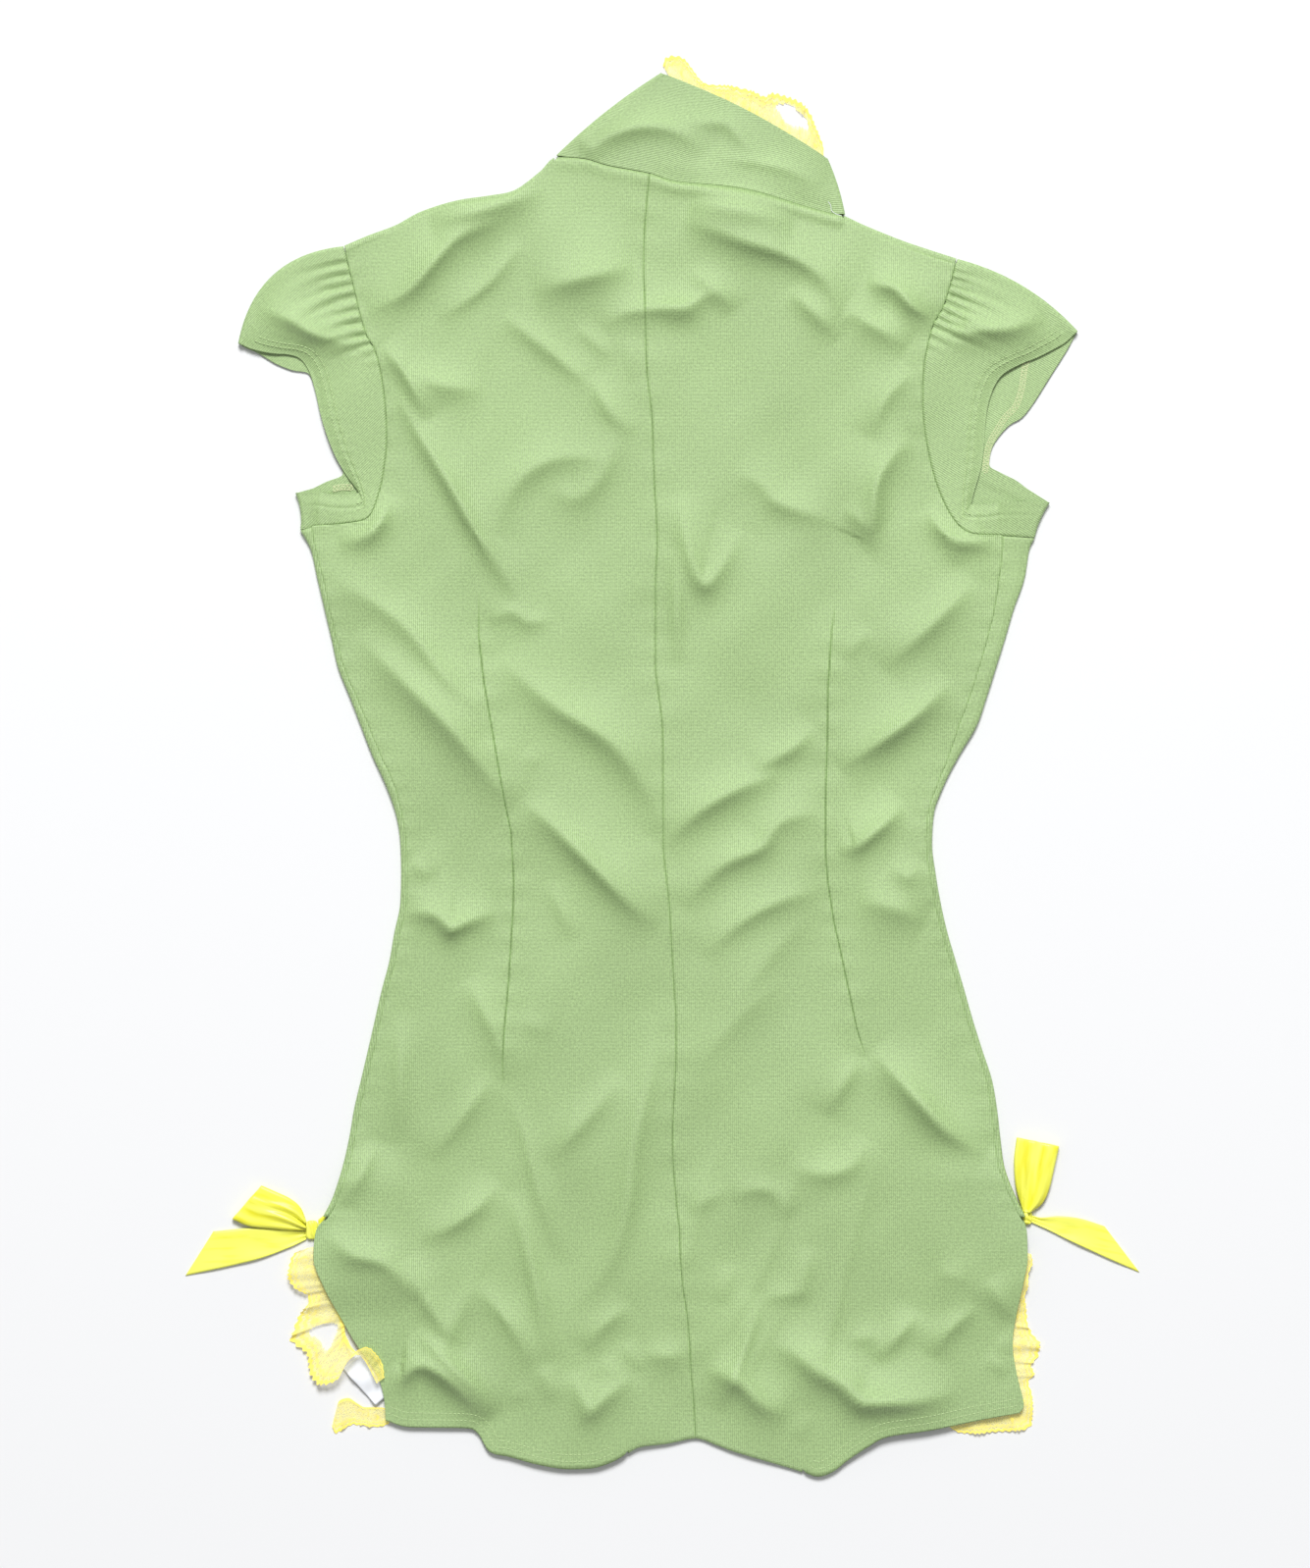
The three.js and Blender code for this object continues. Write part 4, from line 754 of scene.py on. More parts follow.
def finished(name, shell, finish, wall, nodes):
    """Makes the object of a shell and gives it its wall, finish, place and part."""
    mesh = bpy.data.meshes.new(name)
    shell.to_mesh(mesh)
    shell.free()
    mesh.shade_smooth()
    piece = bpy.data.objects.new(name, mesh)
    bpy.context.collection.objects.link(piece)
    mesh.materials.append(FINISHES[finish])
    if wall:
        thicken = piece.modifiers.new("wall", "SOLIDIFY")
        thicken.thickness = wall * MM
        thicken.offset = 0
        thicken.use_even_offset = False
    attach(piece, "root")
    if nodes:
        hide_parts(*nodes)
    return piece


def knit_piece(part, side, grid, grain, turned, ring=False):
    """Cloth of a left or right knit part, its columns turned round where its face would look down."""
    name = f"{part}_{NAMES[side]}"
    if turned:
        grid, grain = grid[:, ::-1], grain[:, ::-1]
    return cloth(f"{name}_knit", grid, grain, KNIT_WALL, "knit", [name], ring=ring)


def rolled(inner, outline, turns, low=lower, high=upper):
    """Rows that carry a sheet round its outline; turn 0 is the lower lip and 1 the upper lip."""
    toward = unit(inner - outline)
    rows = []
    for turn in turns:
        angle = (turn - 0.5) * math.pi
        plan = outline + toward * ROLL * (1 - math.cos(angle))
        share = (1 + math.sin(angle)) / 2
        rows.append(raised(plan, low(plan) + (high(plan) - low(plan)) * share))
    return rows


UPPER_TURNS = (0.4, 0.5, 0.6, 0.7, 0.8, 0.9)
LOWER_TURNS = (0.33, 0.26, 0.18, 0.1)
FINE_STEP = 2.3
COARSE_STEP = 5.0
# Seams: how deep the cloth is drawn down and how wide
CENTRE_GROOVE = (0.7, 0.45)
DART_GROOVE = (1.7, 0.38)
SIDE_GROOVE = (0.3, 0.5)
# Puckers beside the seams: height, distance between two and how far they run
CENTRE_PUCKERS = (0.22, 21, 7)
DART_PUCKERS = (0.28, 17, 6)
BACK_SIDE_PUCKERS = (0.2, 14, 6)
FRONT_SIDE_PUCKERS = (0.2, 14, 5)
# Share of a back panel's columns up to its dart, and where and how fast a dart's line ends
DART_SHARE = 0.49
DART_END, DART_FADE = 1.02, 0.25
# Rolled edges: rows inwards that show the way, step between the first rows and step of the grain
INWARD_ROWS, EDGE_STEP, GRAIN_STEP = 4, 0.2, 0.4
# Neck edge of the back: place and width of its crown and width of its turned-down edge
CROWN_PLACE, CROWN_WIDTH, NECK_EDGE_WIDTH = 3.5, 3.2, 0.9
# Right of this place and over this width the collar seam lies deeper
NAPE_X, NAPE_SOFTNESS = -2, 4


def groove(distance, depth, width):
    """How far cloth is drawn down beside a seam."""
    return depth * bell(distance, width)


def puckers(along, distance, height, pitch, reach):
    """Short uneven ripples that run away from a seam."""
    uneven = 1.7 * np.sin(along / (2.3 * pitch)) + 0.8 * np.sin(along / pitch)
    return height * np.sin(2 * np.pi * along / pitch + uneven) * np.exp(-distance / reach)


def column(table, number, aside=0.0):
    """Points of one column of a table whose rows start with their height."""
    return [(row[number] + aside, row[0]) for row in table]


def centre_edge(yoke, side):
    """Points of a panel's edge at the centre, from its yoke's rows down to the crotch."""
    below = column(TRUNK[1:], TRUNK_CENTRE) + column(SLIT, SLIT_CENTRE) + [CROTCH]
    return np.concatenate([yoke, np.array(below, float)]) + (SEAM_GAP / 2 * side, 0)


def panel_plan(near, far, places, shares, head, foot, trunk_place):
    """Plan places of a body panel between its centre edge and its side, with its curved top and hem."""
    near_line, far_line = line_at(near, places), line_at(far, places)
    plan = near_line[:, None] + (far_line - near_line)[:, None] * shares
    curves = []
    for row, outline in ((0, head), (-1, foot)):
        x = near[row, 0] + (far[row, 0] - near[row, 0]) * shares[row, :, 0]
        line = np.stack([x, outline(x)], axis=1)
        curves.append(line - (line[0] + (line[-1] - line[0]) * shares[row]))
    down = walked(near_line)
    yoke_end, leg_start = np.interp((trunk_place, len(near) - LEG_ROWS - 1), places, down)
    fade = np.clip(1 - down / yoke_end, 0, 1)[:, None, None]
    grow = np.clip((down - leg_start) / (down[-1] - leg_start), 0, 1)[:, None, None]
    return plan + fade * curves[0] + grow * curves[1]


def centre_rows(table, rows, underarm_rows, underarm_step=2.5):
    """Centre line points of a yoke's rows, close together where the rows end under the arm."""
    foot = np.array(table[-1], float)
    close = [foot + (0, k * underarm_step) for k in range(underarm_rows, -1, -1)]
    upper_line = even(list(table[:-1]) + [tuple(close[0])], rows - underarm_rows)
    return np.concatenate([upper_line, close[1:]])


def dart_shares(side, near, far, shares):
    """Shares of the columns in each row, with one column on the dart."""
    dart = np.array(DARTS[side], float)[::-1]
    x = np.interp(near[:, 1], dart[:, 1], dart[:, 0])
    knots = ((x - near[:, 0]) / (far[:, 0] - near[:, 0]))[:, None]
    outer = (shares - DART_SHARE) / (1 - DART_SHARE)
    return np.where(shares <= DART_SHARE, shares / DART_SHARE * knots, knots + outer * (1 - knots))


def back_panel(side):
    """Back panel with its centre seam, dart, armhole, side seam, slit edge and hem."""
    armhole = [row[:2] for row in SLEEVE_UPPER[side]]
    far = armhole + column(TRUNK, TRUNK_SEAM[side], -SIDE_SEAM_GAP / 2 * side)
    far = np.array(far + column(SLIT, SLIT_EDGE[side]) + [HEM_CORNER[side]], float)
    near = centre_edge(centre_rows(NAPE_SEAM, len(armhole) + 1, 3), side)
    places = refined(near, far, FINE_STEP)
    near_line, far_line = line_at(near, places), line_at(far, places)
    half_shares = fine_edges(100, FINE_STEP)
    shares = np.r_[half_shares * DART_SHARE, DART_SHARE + half_shares[1:] * (1 - DART_SHARE)]
    shares = dart_shares(side, near_line, far_line, shares)[..., None]
    plan = panel_plan(near, far, places, shares, back_neck, back_hem, len(armhole))
    from_centre, from_dart, from_side = (
        np.linalg.norm(plan - plan[:, [place]], axis=-1) for place in (0, len(half_shares) - 1, -1)
    )
    upper_tip, lower_tip = DARTS[side][0][1], DARTS[side][-1][1]
    from_middle = np.abs(near_line[:, 1] - (upper_tip + lower_tip) / 2) / ((upper_tip - lower_tip) / 2)
    in_dart = np.clip(DART_END - from_middle, 0, DART_FADE)[:, None] / DART_FADE
    sewn = (places <= len(armhole) + len(TRUNK) - 1)[:, None]
    down, down_side = walked(near_line)[:, None], walked(far_line)[:, None]
    height = upper(plan) - groove(from_centre, *CENTRE_GROOVE) - groove(from_dart, *DART_GROOVE) * in_dart
    height = height - groove(from_side, *SIDE_GROOVE) * sewn
    height = height + puckers(down, from_centre, *CENTRE_PUCKERS)
    height = height + puckers(down, from_dart, *DART_PUCKERS) * in_dart
    height = height + puckers(down_side, from_side, *BACK_SIDE_PUCKERS) * sewn
    grid, grain = with_rolls(side, raised(plan, height), plan, UPPER_TURNS, INWARD_ROWS)
    grid[:, :, 2] = neck_edge(grid, side)
    return knit_piece("back", side, grid, grain, side == RIGHT)


def right_of_nape(x):
    """Grows from nothing to one to the right of the centre-back seam."""
    return soft_step(x - NAPE_X, NAPE_SOFTNESS)


def neck_edge(grid, side):
    """Heights with the neck edge of the back turned down over the collar's seam."""
    x, y, height = grid[..., 0], grid[..., 1], grid[..., 2]
    below = back_neck(np.nan_to_num(x)) - y
    on_neck = (NECK_END[side] - x) * side > 0
    over = right_of_nape(x)
    crown = (0.5 + 0.9 * over) * bell(below - CROWN_PLACE, CROWN_WIDTH)
    edge = (0.2 + 0.3 * over) * bell(below, NECK_EDGE_WIDTH)
    return height + on_neck * (crown - edge)


def with_rolls(side, sheet, plan, turns, reach):
    """Adds the rolled rows to a panel's shoulder and inseam and moves those edges in."""
    on_shoulder = (plan[0, :, 0] - NECK_END[side]) * side > 0
    on_inseam = (INSEAM_END[side] - plan[-1, :, 0]) * side >= 0
    sheet = sheet.copy()
    rolls = []
    for edge, step, chosen in ((0, 1, on_shoulder), (-1, -1, on_inseam)):
        rows = rolled(plan[edge + step * reach], plan[edge], turns)
        rolls.append([np.where(chosen[:, None], row, np.nan) for row in rows])
        toward = unit(plan[edge + step * INWARD_ROWS] - plan[edge])
        for k in (0, 1):
            row = edge + step * k
            use = (chosen & (np.linalg.norm(plan[row] - plan[edge], axis=1) < ROLL))[:, None]
            moved = plan[row] + toward * (ROLL - EDGE_STEP * k)
            sheet[row, :, :2] = np.where(use, moved, sheet[row, :, :2])
    beyond = [(0, GRAIN_STEP * (k + 1)) for k in range(len(turns))]
    grain = [plan[0] + step for step in beyond[::-1]], plan, [plan[-1] - step for step in beyond]
    return np.concatenate([rolls[0], sheet, rolls[1][::-1]]), np.concatenate(grain)


def back_neck(x):
    """Neck and shoulder line of the back."""
    return height_at(TOP_LINE, x)


def back_hem(x):
    """Hem line of the back."""
    return height_at(HEM_LINE, x)


def front_neck(x):
    """Neckline of the front: the back's, dropped towards centre front."""
    share = np.clip((x - NECK_END[LEFT]) / (NECK_END[RIGHT] - NECK_END[LEFT]), 0, 1)
    return back_neck(x) - FRONT_NECK_DROP * np.sin(np.pi * share)


SIDE_TURNS = (0.12, 0.25, 0.37, 0.5, 0.63, 0.75, 0.88, 1)
SIDE_SHARES = (0.2, 0.4, 0.6, 0.75, 0.85, 0.93, 1)


def side_strip(edges, seams, places, extra):
    """Columns that carry the front round the side outline to the side seam, and their grain; rows above
    and below them, and the extra rows at both ends, stay empty."""
    shape = (len(places), len(SIDE_TURNS) + len(SIDE_SHARES))
    strip, grain = np.full((*shape, 3), np.nan), np.zeros((*shape, 2))
    inside = (places >= 0) & (places <= len(TRUNK))
    edge_line, seam_line = line_at(edges, places[inside]), line_at(seams, places[inside])
    toward = unit(seam_line - edge_line)
    lip = edge_line + toward * ROLL
    for k, row in enumerate(rolled(seam_line, edge_line, SIDE_TURNS)):
        strip[inside, k] = row
        grain[inside, k] = edge_line + toward * (ROLL + 4 * SIDE_TURNS[k])
    for k, share in enumerate(SIDE_SHARES, len(SIDE_TURNS)):
        here = lip + (seam_line - lip) * share
        gap = np.linalg.norm(seam_line - here, axis=1)
        height = upper(here) - groove(gap, *SIDE_GROOVE)
        height = height + puckers(walked(seam_line), gap, *FRONT_SIDE_PUCKERS)
        strip[inside, k] = raised(here, height)
        grain[inside, k] = here + toward * 6
    around = ((extra, extra), (0, 0), (0, 0))
    return np.pad(strip, around, constant_values=np.nan), np.pad(grain, around)


def front_panel(side):
    """Front panel under the back, rolled over the side outline up to the side seam."""
    armhole = np.array([row[:2] for row in SLEEVE_LOWER[side]], float)
    inset = KNIT_WALL / 2 * side
    fold, armhole_end = UNDERARM_FOLD[side], SLEEVE_UPPER[side][-1]
    edges = [(fold[0] - inset, fold[1])] + column(TRUNK, TRUNK_EDGE[side], -inset)
    seams = [(armhole_end[0] + SEAM_GAP * side, armhole_end[1] - 0.1)]
    seams += column(TRUNK, TRUNK_SEAM[side], SIDE_SEAM_GAP / 2 * side)
    edges, seams = np.array(edges, float), np.array(seams, float)
    lips = edges + unit(seams - edges) * ROLL
    corner = (HEM_CORNER[side][0], HEM_CORNER[side][1] + FRONT_HEM_RISE)
    far = np.concatenate([armhole, lips, column(SLIT, SLIT_EDGE[side]), [corner]])
    start = (NECK_MIDDLE, float(front_neck(NECK_MIDDLE)))
    end = (TRUNK[0][TRUNK_CENTRE], TRUNK[0][0])
    near = centre_edge(centre_rows([start, end], len(armhole) + 2, 4), side)
    places = refined(near, far, FINE_STEP)
    shares = fine_edges(200, COARSE_STEP)
    shares = np.broadcast_to(shares[None, :, None], (len(places), len(shares), 1))

    def front_hem(x):
        on_leg = np.clip((x - INSEAM_END[side]) * side / 8, 0, 1)
        return back_hem(x) + FRONT_HEM_RISE * on_leg

    plan = panel_plan(near, far, places, shares, front_neck, front_hem, len(armhole) + 1)
    flat = raised(plan, lower(plan) + 0.3 * np.clip(ripple(plan[..., 0], plan[..., 1]), 0, 1))
    grid, grain = with_rolls(side, flat, plan, LOWER_TURNS, 2)
    strip, strip_grain = side_strip(edges, seams, places - len(armhole), len(LOWER_TURNS))
    grid = np.concatenate([grid, strip], axis=1)
    grain = np.concatenate([grain, strip_grain], axis=1)
    return knit_piece("front", side, grid, grain, side == RIGHT)


# Gathers of the cap sleeves: where each starts on the armhole seam, counted in its table's rows, how far
# it runs towards the hem and how high it stands
GATHERS = {
    LEFT: [
        (0.45, 0.22, 1.2), (0.95, 0.36, 2.2), (1.45, 0.24, 1.4), (2.0, 0.46, 2.9), (2.6, 0.28, 1.7),
        (3.15, 0.40, 2.8), (3.75, 0.30, 2.0), (4.3, 0.42, 2.6), (4.9, 0.20, 1.4), (5.5, 0.14, 0.8),
    ],
    RIGHT: [
        (0.5, 0.18, 1.2), (0.9, 0.30, 2.2), (1.35, 0.20, 1.3), (1.85, 0.42, 2.9), (2.35, 0.24, 1.6),
        (2.85, 0.36, 2.7), (3.35, 0.24, 1.8), (3.9, 0.40, 2.8), (4.5, 0.22, 1.7), (5.1, 0.14, 1.0),
    ],
}
GATHER_WIDTH = 0.145
UPPER_STEP, LOWER_STEP = 1.7, 3.0
HEM_BAND = 8.0
RIB_ANGLE = {LEFT: -135, RIGHT: -31}
BAND_SEAM = {LEFT: -203.5, RIGHT: 199.0}
BAND_TOP = 162
LEAST_SLEEVE = 2.05
SLEEVE_EDGE_STEPS = (0, 0.4, 0.9, 1.6, 2.4)
RISING, FALLING = (0.5, 0.6, 0.7, 0.8, 0.9, 1), (0.4, 0.3, 0.2, 0.1, 0)
# Grooves and puckers of the sleeve, as on the panels
ARMHOLE_GROOVE, BAND_GROOVE, BAND_SEAM_GROOVE, HEM_DIP = (0.9, 0.6), (0.35, 1.0), (1.5, 1.1), (1.3, 5)
BAND_PUCKERS = (0.16, 7, 3)


def gathered(side, place, down):
    """Height of the gathers at a place along the armhole and a share of the way to the hem."""
    total = np.zeros(np.broadcast(place, down).shape)
    for start, reach, height in GATHERS[side]:
        drift = 0.25 * np.sin(3 * start) * down
        near = bell(place - start - drift, GATHER_WIDTH * (1 + 1.6 * down))
        total += height * (near - 0.45) * bell(down, reach) * (near > 0.02)
    return total


def sleeve_rows(table, side, step):
    """Fine rows of one layer of a sleeve, with the seam, the hem and the bulge, and their places."""
    table = np.array(table, float)
    seam = beside(table[:, :2], SEAM_GAP * side)
    places = refined(seam, table[:, 2:4], step)
    rows = line_at(np.concatenate([seam, table[:, 2:]], axis=1), places)
    rows[0, 4] -= KNIT_WALL / 2
    return rows, places


def sleeve_plan(rows, down, side):
    """Plan places of a sleeve's rows between seam and hem, bulging outwards."""
    seam, hem = rows[..., None, :2], rows[..., None, 2:4]
    outward = leftward(unit(hem - seam)) * side
    bend = (rows[..., 4:] * 4 * down * (1 - down))[..., None]
    return seam + (hem - seam) * down[:, None] + outward * bend


def sleeve(side):
    """Cap sleeve: one ring from the shoulder fold over the back to the underarm and round under it."""
    down = fine_edges(55, 1.5, SLEEVE_EDGE_STEPS)
    upper_rows, upper_places = sleeve_rows(SLEEVE_UPPER[side], side, UPPER_STEP)
    lower_rows, _ = sleeve_rows(SLEEVE_LOWER[side], side, LOWER_STEP)
    shoulder = upper_rows[0].copy()
    shoulder[:2] += unit(shoulder[2:4] - shoulder[:2]) * 0.5
    seam_x, seam_y, hem_x, hem_y, bow = UNDERARM_FOLD[side]
    fold = np.array([seam_x - KNIT_WALL / 2 * side, seam_y + SEAM_GAP + 0.1, hem_x, hem_y, -bow])
    upper_plan, lower_plan, shoulder_plan, fold_plan = (
        sleeve_plan(rows, down, side) for rows in (upper_rows[1:], lower_rows[1:], shoulder, fold)
    )
    hem = upper_rows[1:, 2:4]
    length = np.linalg.norm(hem - upper_rows[1:, :2], axis=1)[:, None]
    from_hem = length * (1 - down)
    from_band = from_hem - HEM_BAND
    height = upper(upper_plan) + gathered(side, upper_places[1:, None], down)
    height = height - groove(length * down, *ARMHOLE_GROOVE) - groove(from_band, *BAND_GROOVE)
    height = height + puckers(walked(hem)[:, None], np.abs(from_band), *BAND_PUCKERS)
    on_band = upper_plan[..., 1] < BAND_TOP
    height = height - groove(upper_plan[..., 0] - BAND_SEAM[side], *BAND_SEAM_GROOVE) * on_band
    height = height - groove(from_hem, *HEM_DIP)
    upper_sheet = raised(upper_plan, np.maximum(height, LEAST_SLEEVE))
    hem_turn = 0.5 * soft_step(10 - length.mean() * (1 - down), 0.7)
    lower_sheet = raised(lower_plan, lower(lower_plan) + hem_turn)
    columns = (
        rolled(upper_plan[3], shoulder_plan, RISING) + list(upper_sheet[2:-1])
        + rolled(upper_plan[-3], fold_plan, RISING[::-1])
        + rolled(lower_plan[-2], fold_plan, FALLING) + list(lower_sheet[-2:0:-1])
        + rolled(lower_plan[2], shoulder_plan, FALLING[::-1])
    )
    grid = np.stack(columns, axis=1)
    rib = math.radians(RIB_ANGLE[side])
    x, y = grid[..., 0], grid[..., 1]
    along_rib = x * math.cos(rib) + y * math.sin(rib)
    grain = np.stack([y * math.cos(rib) - x * math.sin(rib), along_rib], axis=-1)
    return knit_piece("sleeve", side, grid, grain, side == LEFT, ring=True)


# Collar folds: base, top and how far each bows outwards
COLLAR_FOLDS = {
    LEFT: ((-62, 357.4), (-1, 405.5), 2.0),
    RIGHT: ((107, 322.8), (97, 355), 1.0),
}
COLLAR_BULGE = 3.5
COLLAR_WALL = 1.2
COLLAR_CLEARANCE, COLLAR_INSET = 0.15, 1.5
COLLAR_TURNS = (0, 0.12, 0.25, 0.37, 0.5, 0.63, 0.75, 0.88, 1)


def collar_top(x, drop):
    """Top edge of the collar over each place of the neckline."""
    share = ((x - NECK_END[LEFT]) / (NECK_END[RIGHT] - NECK_END[LEFT]))[:, None]
    left, right = (np.array(COLLAR_FOLDS[side][1], float) for side in (LEFT, RIGHT))
    rise = COLLAR_BULGE * 4 * share * (1 - share)
    top = left + (right - left) * share + rise * leftward(unit(right - left))
    return top - np.array([0, 1]) * drop * np.sin(np.pi * share)


def collar_fold(side, up):
    """Edge of the collar at one of its folds, at these shares of its height."""
    base, top = np.array(COLLAR_FOLDS[side][:2], float)
    bow = COLLAR_FOLDS[side][2] * 4 * up * (1 - up) - COLLAR_WALL / 2
    return base + (top - base) * up[:, None] - leftward(unit(top - base)) * side * bow[:, None]


def collar():
    """Stand collar pushed over to the left: one ring, open at centre front."""
    up = fine_edges(45, 1.6, EDGE_STEPS[:4])

    def layer(start, end, count, line, drop, height):
        places = np.linspace(start, end, count)
        base = beside(np.stack([places, line(places)], axis=1), SEAM_GAP)
        plan = base[:, None] + (collar_top(places, drop) - base)[:, None] * up[:, None]
        return list(raised(plan, height(plan))), plan

    def under(plan):
        return COLLAR_WALL / 2 + COLLAR_CLEARANCE + lift(plan[..., 0], plan[..., 1])

    def over(plan):
        above = plan[..., 1] - back_neck(plan[..., 0])
        return upper(plan) - (0.1 + 0.8 * right_of_nape(plan[..., 0])) * bell(above, 6)

    left, right = NECK_END[LEFT] + COLLAR_INSET, NECK_END[RIGHT] - COLLAR_INSET
    shown, shown_plan = layer(left, right, 100, back_neck, 0, over)
    hidden_left, left_plan = layer(
        left, NECK_MIDDLE - SEAM_GAP / 2, 20, front_neck, FRONT_NECK_DROP, under)
    hidden_right, right_plan = layer(
        NECK_MIDDLE + SEAM_GAP / 2, right, 20, front_neck, FRONT_NECK_DROP, under)
    left_fold, right_fold = collar_fold(LEFT, up), collar_fold(RIGHT, up)
    columns = (
        hidden_right
        + rolled(right_plan[-3], right_fold, COLLAR_TURNS[:4], under)
        + rolled(shown_plan[-4], right_fold, COLLAR_TURNS[4:], under)
        + shown[-3:1:-1]
        + rolled(shown_plan[3], left_fold, COLLAR_TURNS[:3:-1], under)
        + rolled(left_plan[2], left_fold, COLLAR_TURNS[3::-1], under)
        + hidden_left
    )
    grid = np.stack(columns, axis=1)
    length = np.linalg.norm(grid[-1] - grid[0], axis=1)
    grain = np.stack(np.broadcast_arrays(up[:, None] * length, walked(grid[len(up) // 2])), axis=-1)
    return cloth("collar_knit", grid[:, ::-1], grain[:, ::-1], COLLAR_WALL, "knit", ["collar"])


# Gathered laces: sewn edge x and y, free edge x and y, and how far each edge stands over its level
COLLAR_LACE = [
    (7, 398.5, 0, 410.5, 0, 0), (9.5, 397, 2, 415, 0, 0.5), (12, 395.5, 7, 416.4, 0, 1),
    (15, 394, 12.5, 414.5, 0, 0.5), (18, 392.5, 18, 407.5, 0, 0), (22, 390.5, 22, 402, 0, 0),
    (28, 387.5, 28, 399.3, 0, 0.3), (36, 383.5, 37, 399, 0, 0.5), (44, 379, 46, 397.5, 0, 0.5),
    (51, 375.5, 54, 395.3, 0, 0), (56, 373, 60, 392.3, 0, 0.5), (61, 370.5, 65, 394.5, 0, 1),
    (67, 367.5, 73, 392.8, 0, 0.8), (73, 364.5, 80, 390, 0, 0.5), (78, 361.5, 86, 384.5, 0, 0),
    (82, 359, 89, 377, 0, 0), (86, 356.5, 92.5, 369, 0, 0.5), (89, 354, 94.5, 362.5, 0, 0),
    (90.5, 352.5, 94.5, 357.5, 0, 0),
]
LEFT_SLIT_LACE = [
    (-200.8, -281, -208, -282.5, 0, 0), (-201.2, -285, -216, -286, 0, 0.6),
    (-200.8, -290, -219, -292, 0, 0), (-199, -297, -220, -299, 0, 0.6),
    (-196.5, -303, -216, -306, 0, 0), (-194, -308, -207.5, -312, 0, 0),
    (-191, -313.5, -211, -319, 0, 0.8), (-188, -320, -216, -328, 0, 0),
    (-186, -325, -219, -337, 0, 0.8), (-186, -329.5, -209, -345, 0, 2),
    (-185.4, -333.5, -207, -357, 0.5, 2), (-183.6, -337, -200, -363.5, 1.5, 3),
    (-182, -340, -190, -360, 3, 5), (-178.5, -343.5, -184, -348, 4.5, 7),
    (-174.5, -347.5, -173, -339.5, 4.5, 5.5), (-171.5, -352.5, -166, -345, 4.5, 5),
    (-169, -357.5, -163, -352, 4.5, 4.5), (-167, -361.5, -162.5, -358, 4.5, 4.5),
]
LEFT_FRONT_SLIT_LACE = [
    (-158, -377.5, -158, -383, 0, 0), (-161, -377, -161, -386, 0, 0),
    (-164.5, -376, -164.5, -387.5, -0.4, -0.4), (-169, -376, -170, -388, -1, 0),
    (-174, -376, -176, -387, -1, 1), (-179, -373.5, -181, -386.5, -1, 0),
    (-184, -370.5, -186.5, -389, -0.5, 1), (-189, -372, -191, -392, -0.5, 0),
    (-191, -377, -193.5, -387, -0.5, 0),
]
RIGHT_SLIT_LACE = [
    (208, -284, 216, -286, 0, 0), (208, -290, 217, -291.5, 0, 0), (207, -297, 214.5, -298, 0, 0),
    (205, -304, 214.5, -305, 0, 0), (204, -311, 212.5, -311.5, 0, 0), (202, -318, 213.5, -319, 0, 0),
    (201, -325, 214.5, -327, 0, 0), (200, -332, 217, -333, 0, 0), (199.5, -338, 222, -338.5, 0, 1),
    (199.5, -344, 221, -346, 0, 0), (200.5, -350, 216.5, -351, 0, 0), (202, -356, 218.5, -357, 0, 1),
    (203, -362, 215, -362, 0, 0), (204, -367, 217, -368.5, 0, 0), (204, -371, 217.5, -376.5, 0, 0.3),
    (202, -374, 216, -388, 0, 0), (197, -375, 205, -390.5, 0, 1), (190, -375.5, 194, -391, 0, 0),
    (182, -377, 184, -392, 0, 1), (174, -379.5, 175, -391.5, 0, 0), (168, -381, 167, -387, 0, 0),
]
# Open eyes between two lobes: middle along the strip and out from its sewn edge, and half sizes
LACE_EYES = {
    "collar_lace": (0.72, 0.62, 0.075, 0.16),
    "slit_lace_left": (0.5, 0.40, 0.058, 0.20),
}
# Laces: how far they sag beside the cloth, share of the way out they reach, points per lobe, least height
LACE_SAG, LACE_REACH, LACE_POINTS, LEAST_LACE = 1.2, 1.08, 26, 0.5


def lace(node, rows, waves, swing, depth):
    """Gathered lace: soft lobes that swing sideways and up, growing from the sewn to the free edge."""
    count = max(int(waves * LACE_POINTS), 90)
    table = smooth(rows, count)
    sewn, free, rises = table[:, :2], table[:, 2:4], table[:, 4:]
    share = np.linspace(0, 1, count)
    out = np.linspace(0, LACE_REACH, 25)[:, None]
    uneven = 0.3 * np.sin(5.1 * share * np.pi) + 0.12 * np.sin(13 * share * np.pi)
    lobes = 2 * np.pi * (waves * share + uneven)
    crimps = 2 * np.pi * (2.7 * waves * share + 0.4 * np.sin(7 * share * np.pi))
    fade = np.sin(np.pi * share) ** 0.4
    loose = np.clip((out - 0.1) / 0.9, 0, 1.2)
    sideways = swing * loose * fade * np.sin(lobes + 0.8)
    sideways = sideways + 0.16 * swing * loose**2 * fade * np.sin(crimps)
    plan = sewn + (free - sewn) * out[..., None]
    plan = plan + unit(np.gradient(free + sewn, axis=0)) * sideways[..., None]
    height = middle(plan) + rises[:, 0] + (rises[:, 1] - rises[:, 0]) * out
    height = height - LACE_SAG * (rises[:, 1] < 2.5) * np.clip(out * 1.6, 0, 1)
    height = height + 1.3 * depth * loose * fade * np.sin(lobes)
    height = height + 0.35 * depth * (1 - 0.5 * loose) * fade * np.sin(crimps + 1)
    grain = np.stack(np.broadcast_arrays(walked(free + (sewn - free) * 0.25), out * LACE_WIDTH), axis=-1)
    grid = raised(plan, np.maximum(height, LEAST_LACE))
    if node in LACE_EYES:
        at, up, wide, tall = LACE_EYES[node]
        aside, above = (share - at) / wide, (out - up) / tall
        grid[np.hypot(aside, above) < 1 + 0.16 * np.sin(3 * np.arctan2(above, aside) + 0.6)] = np.nan
    return cloth(f"{node}_net", grid, grain, 0, "lace", [node])


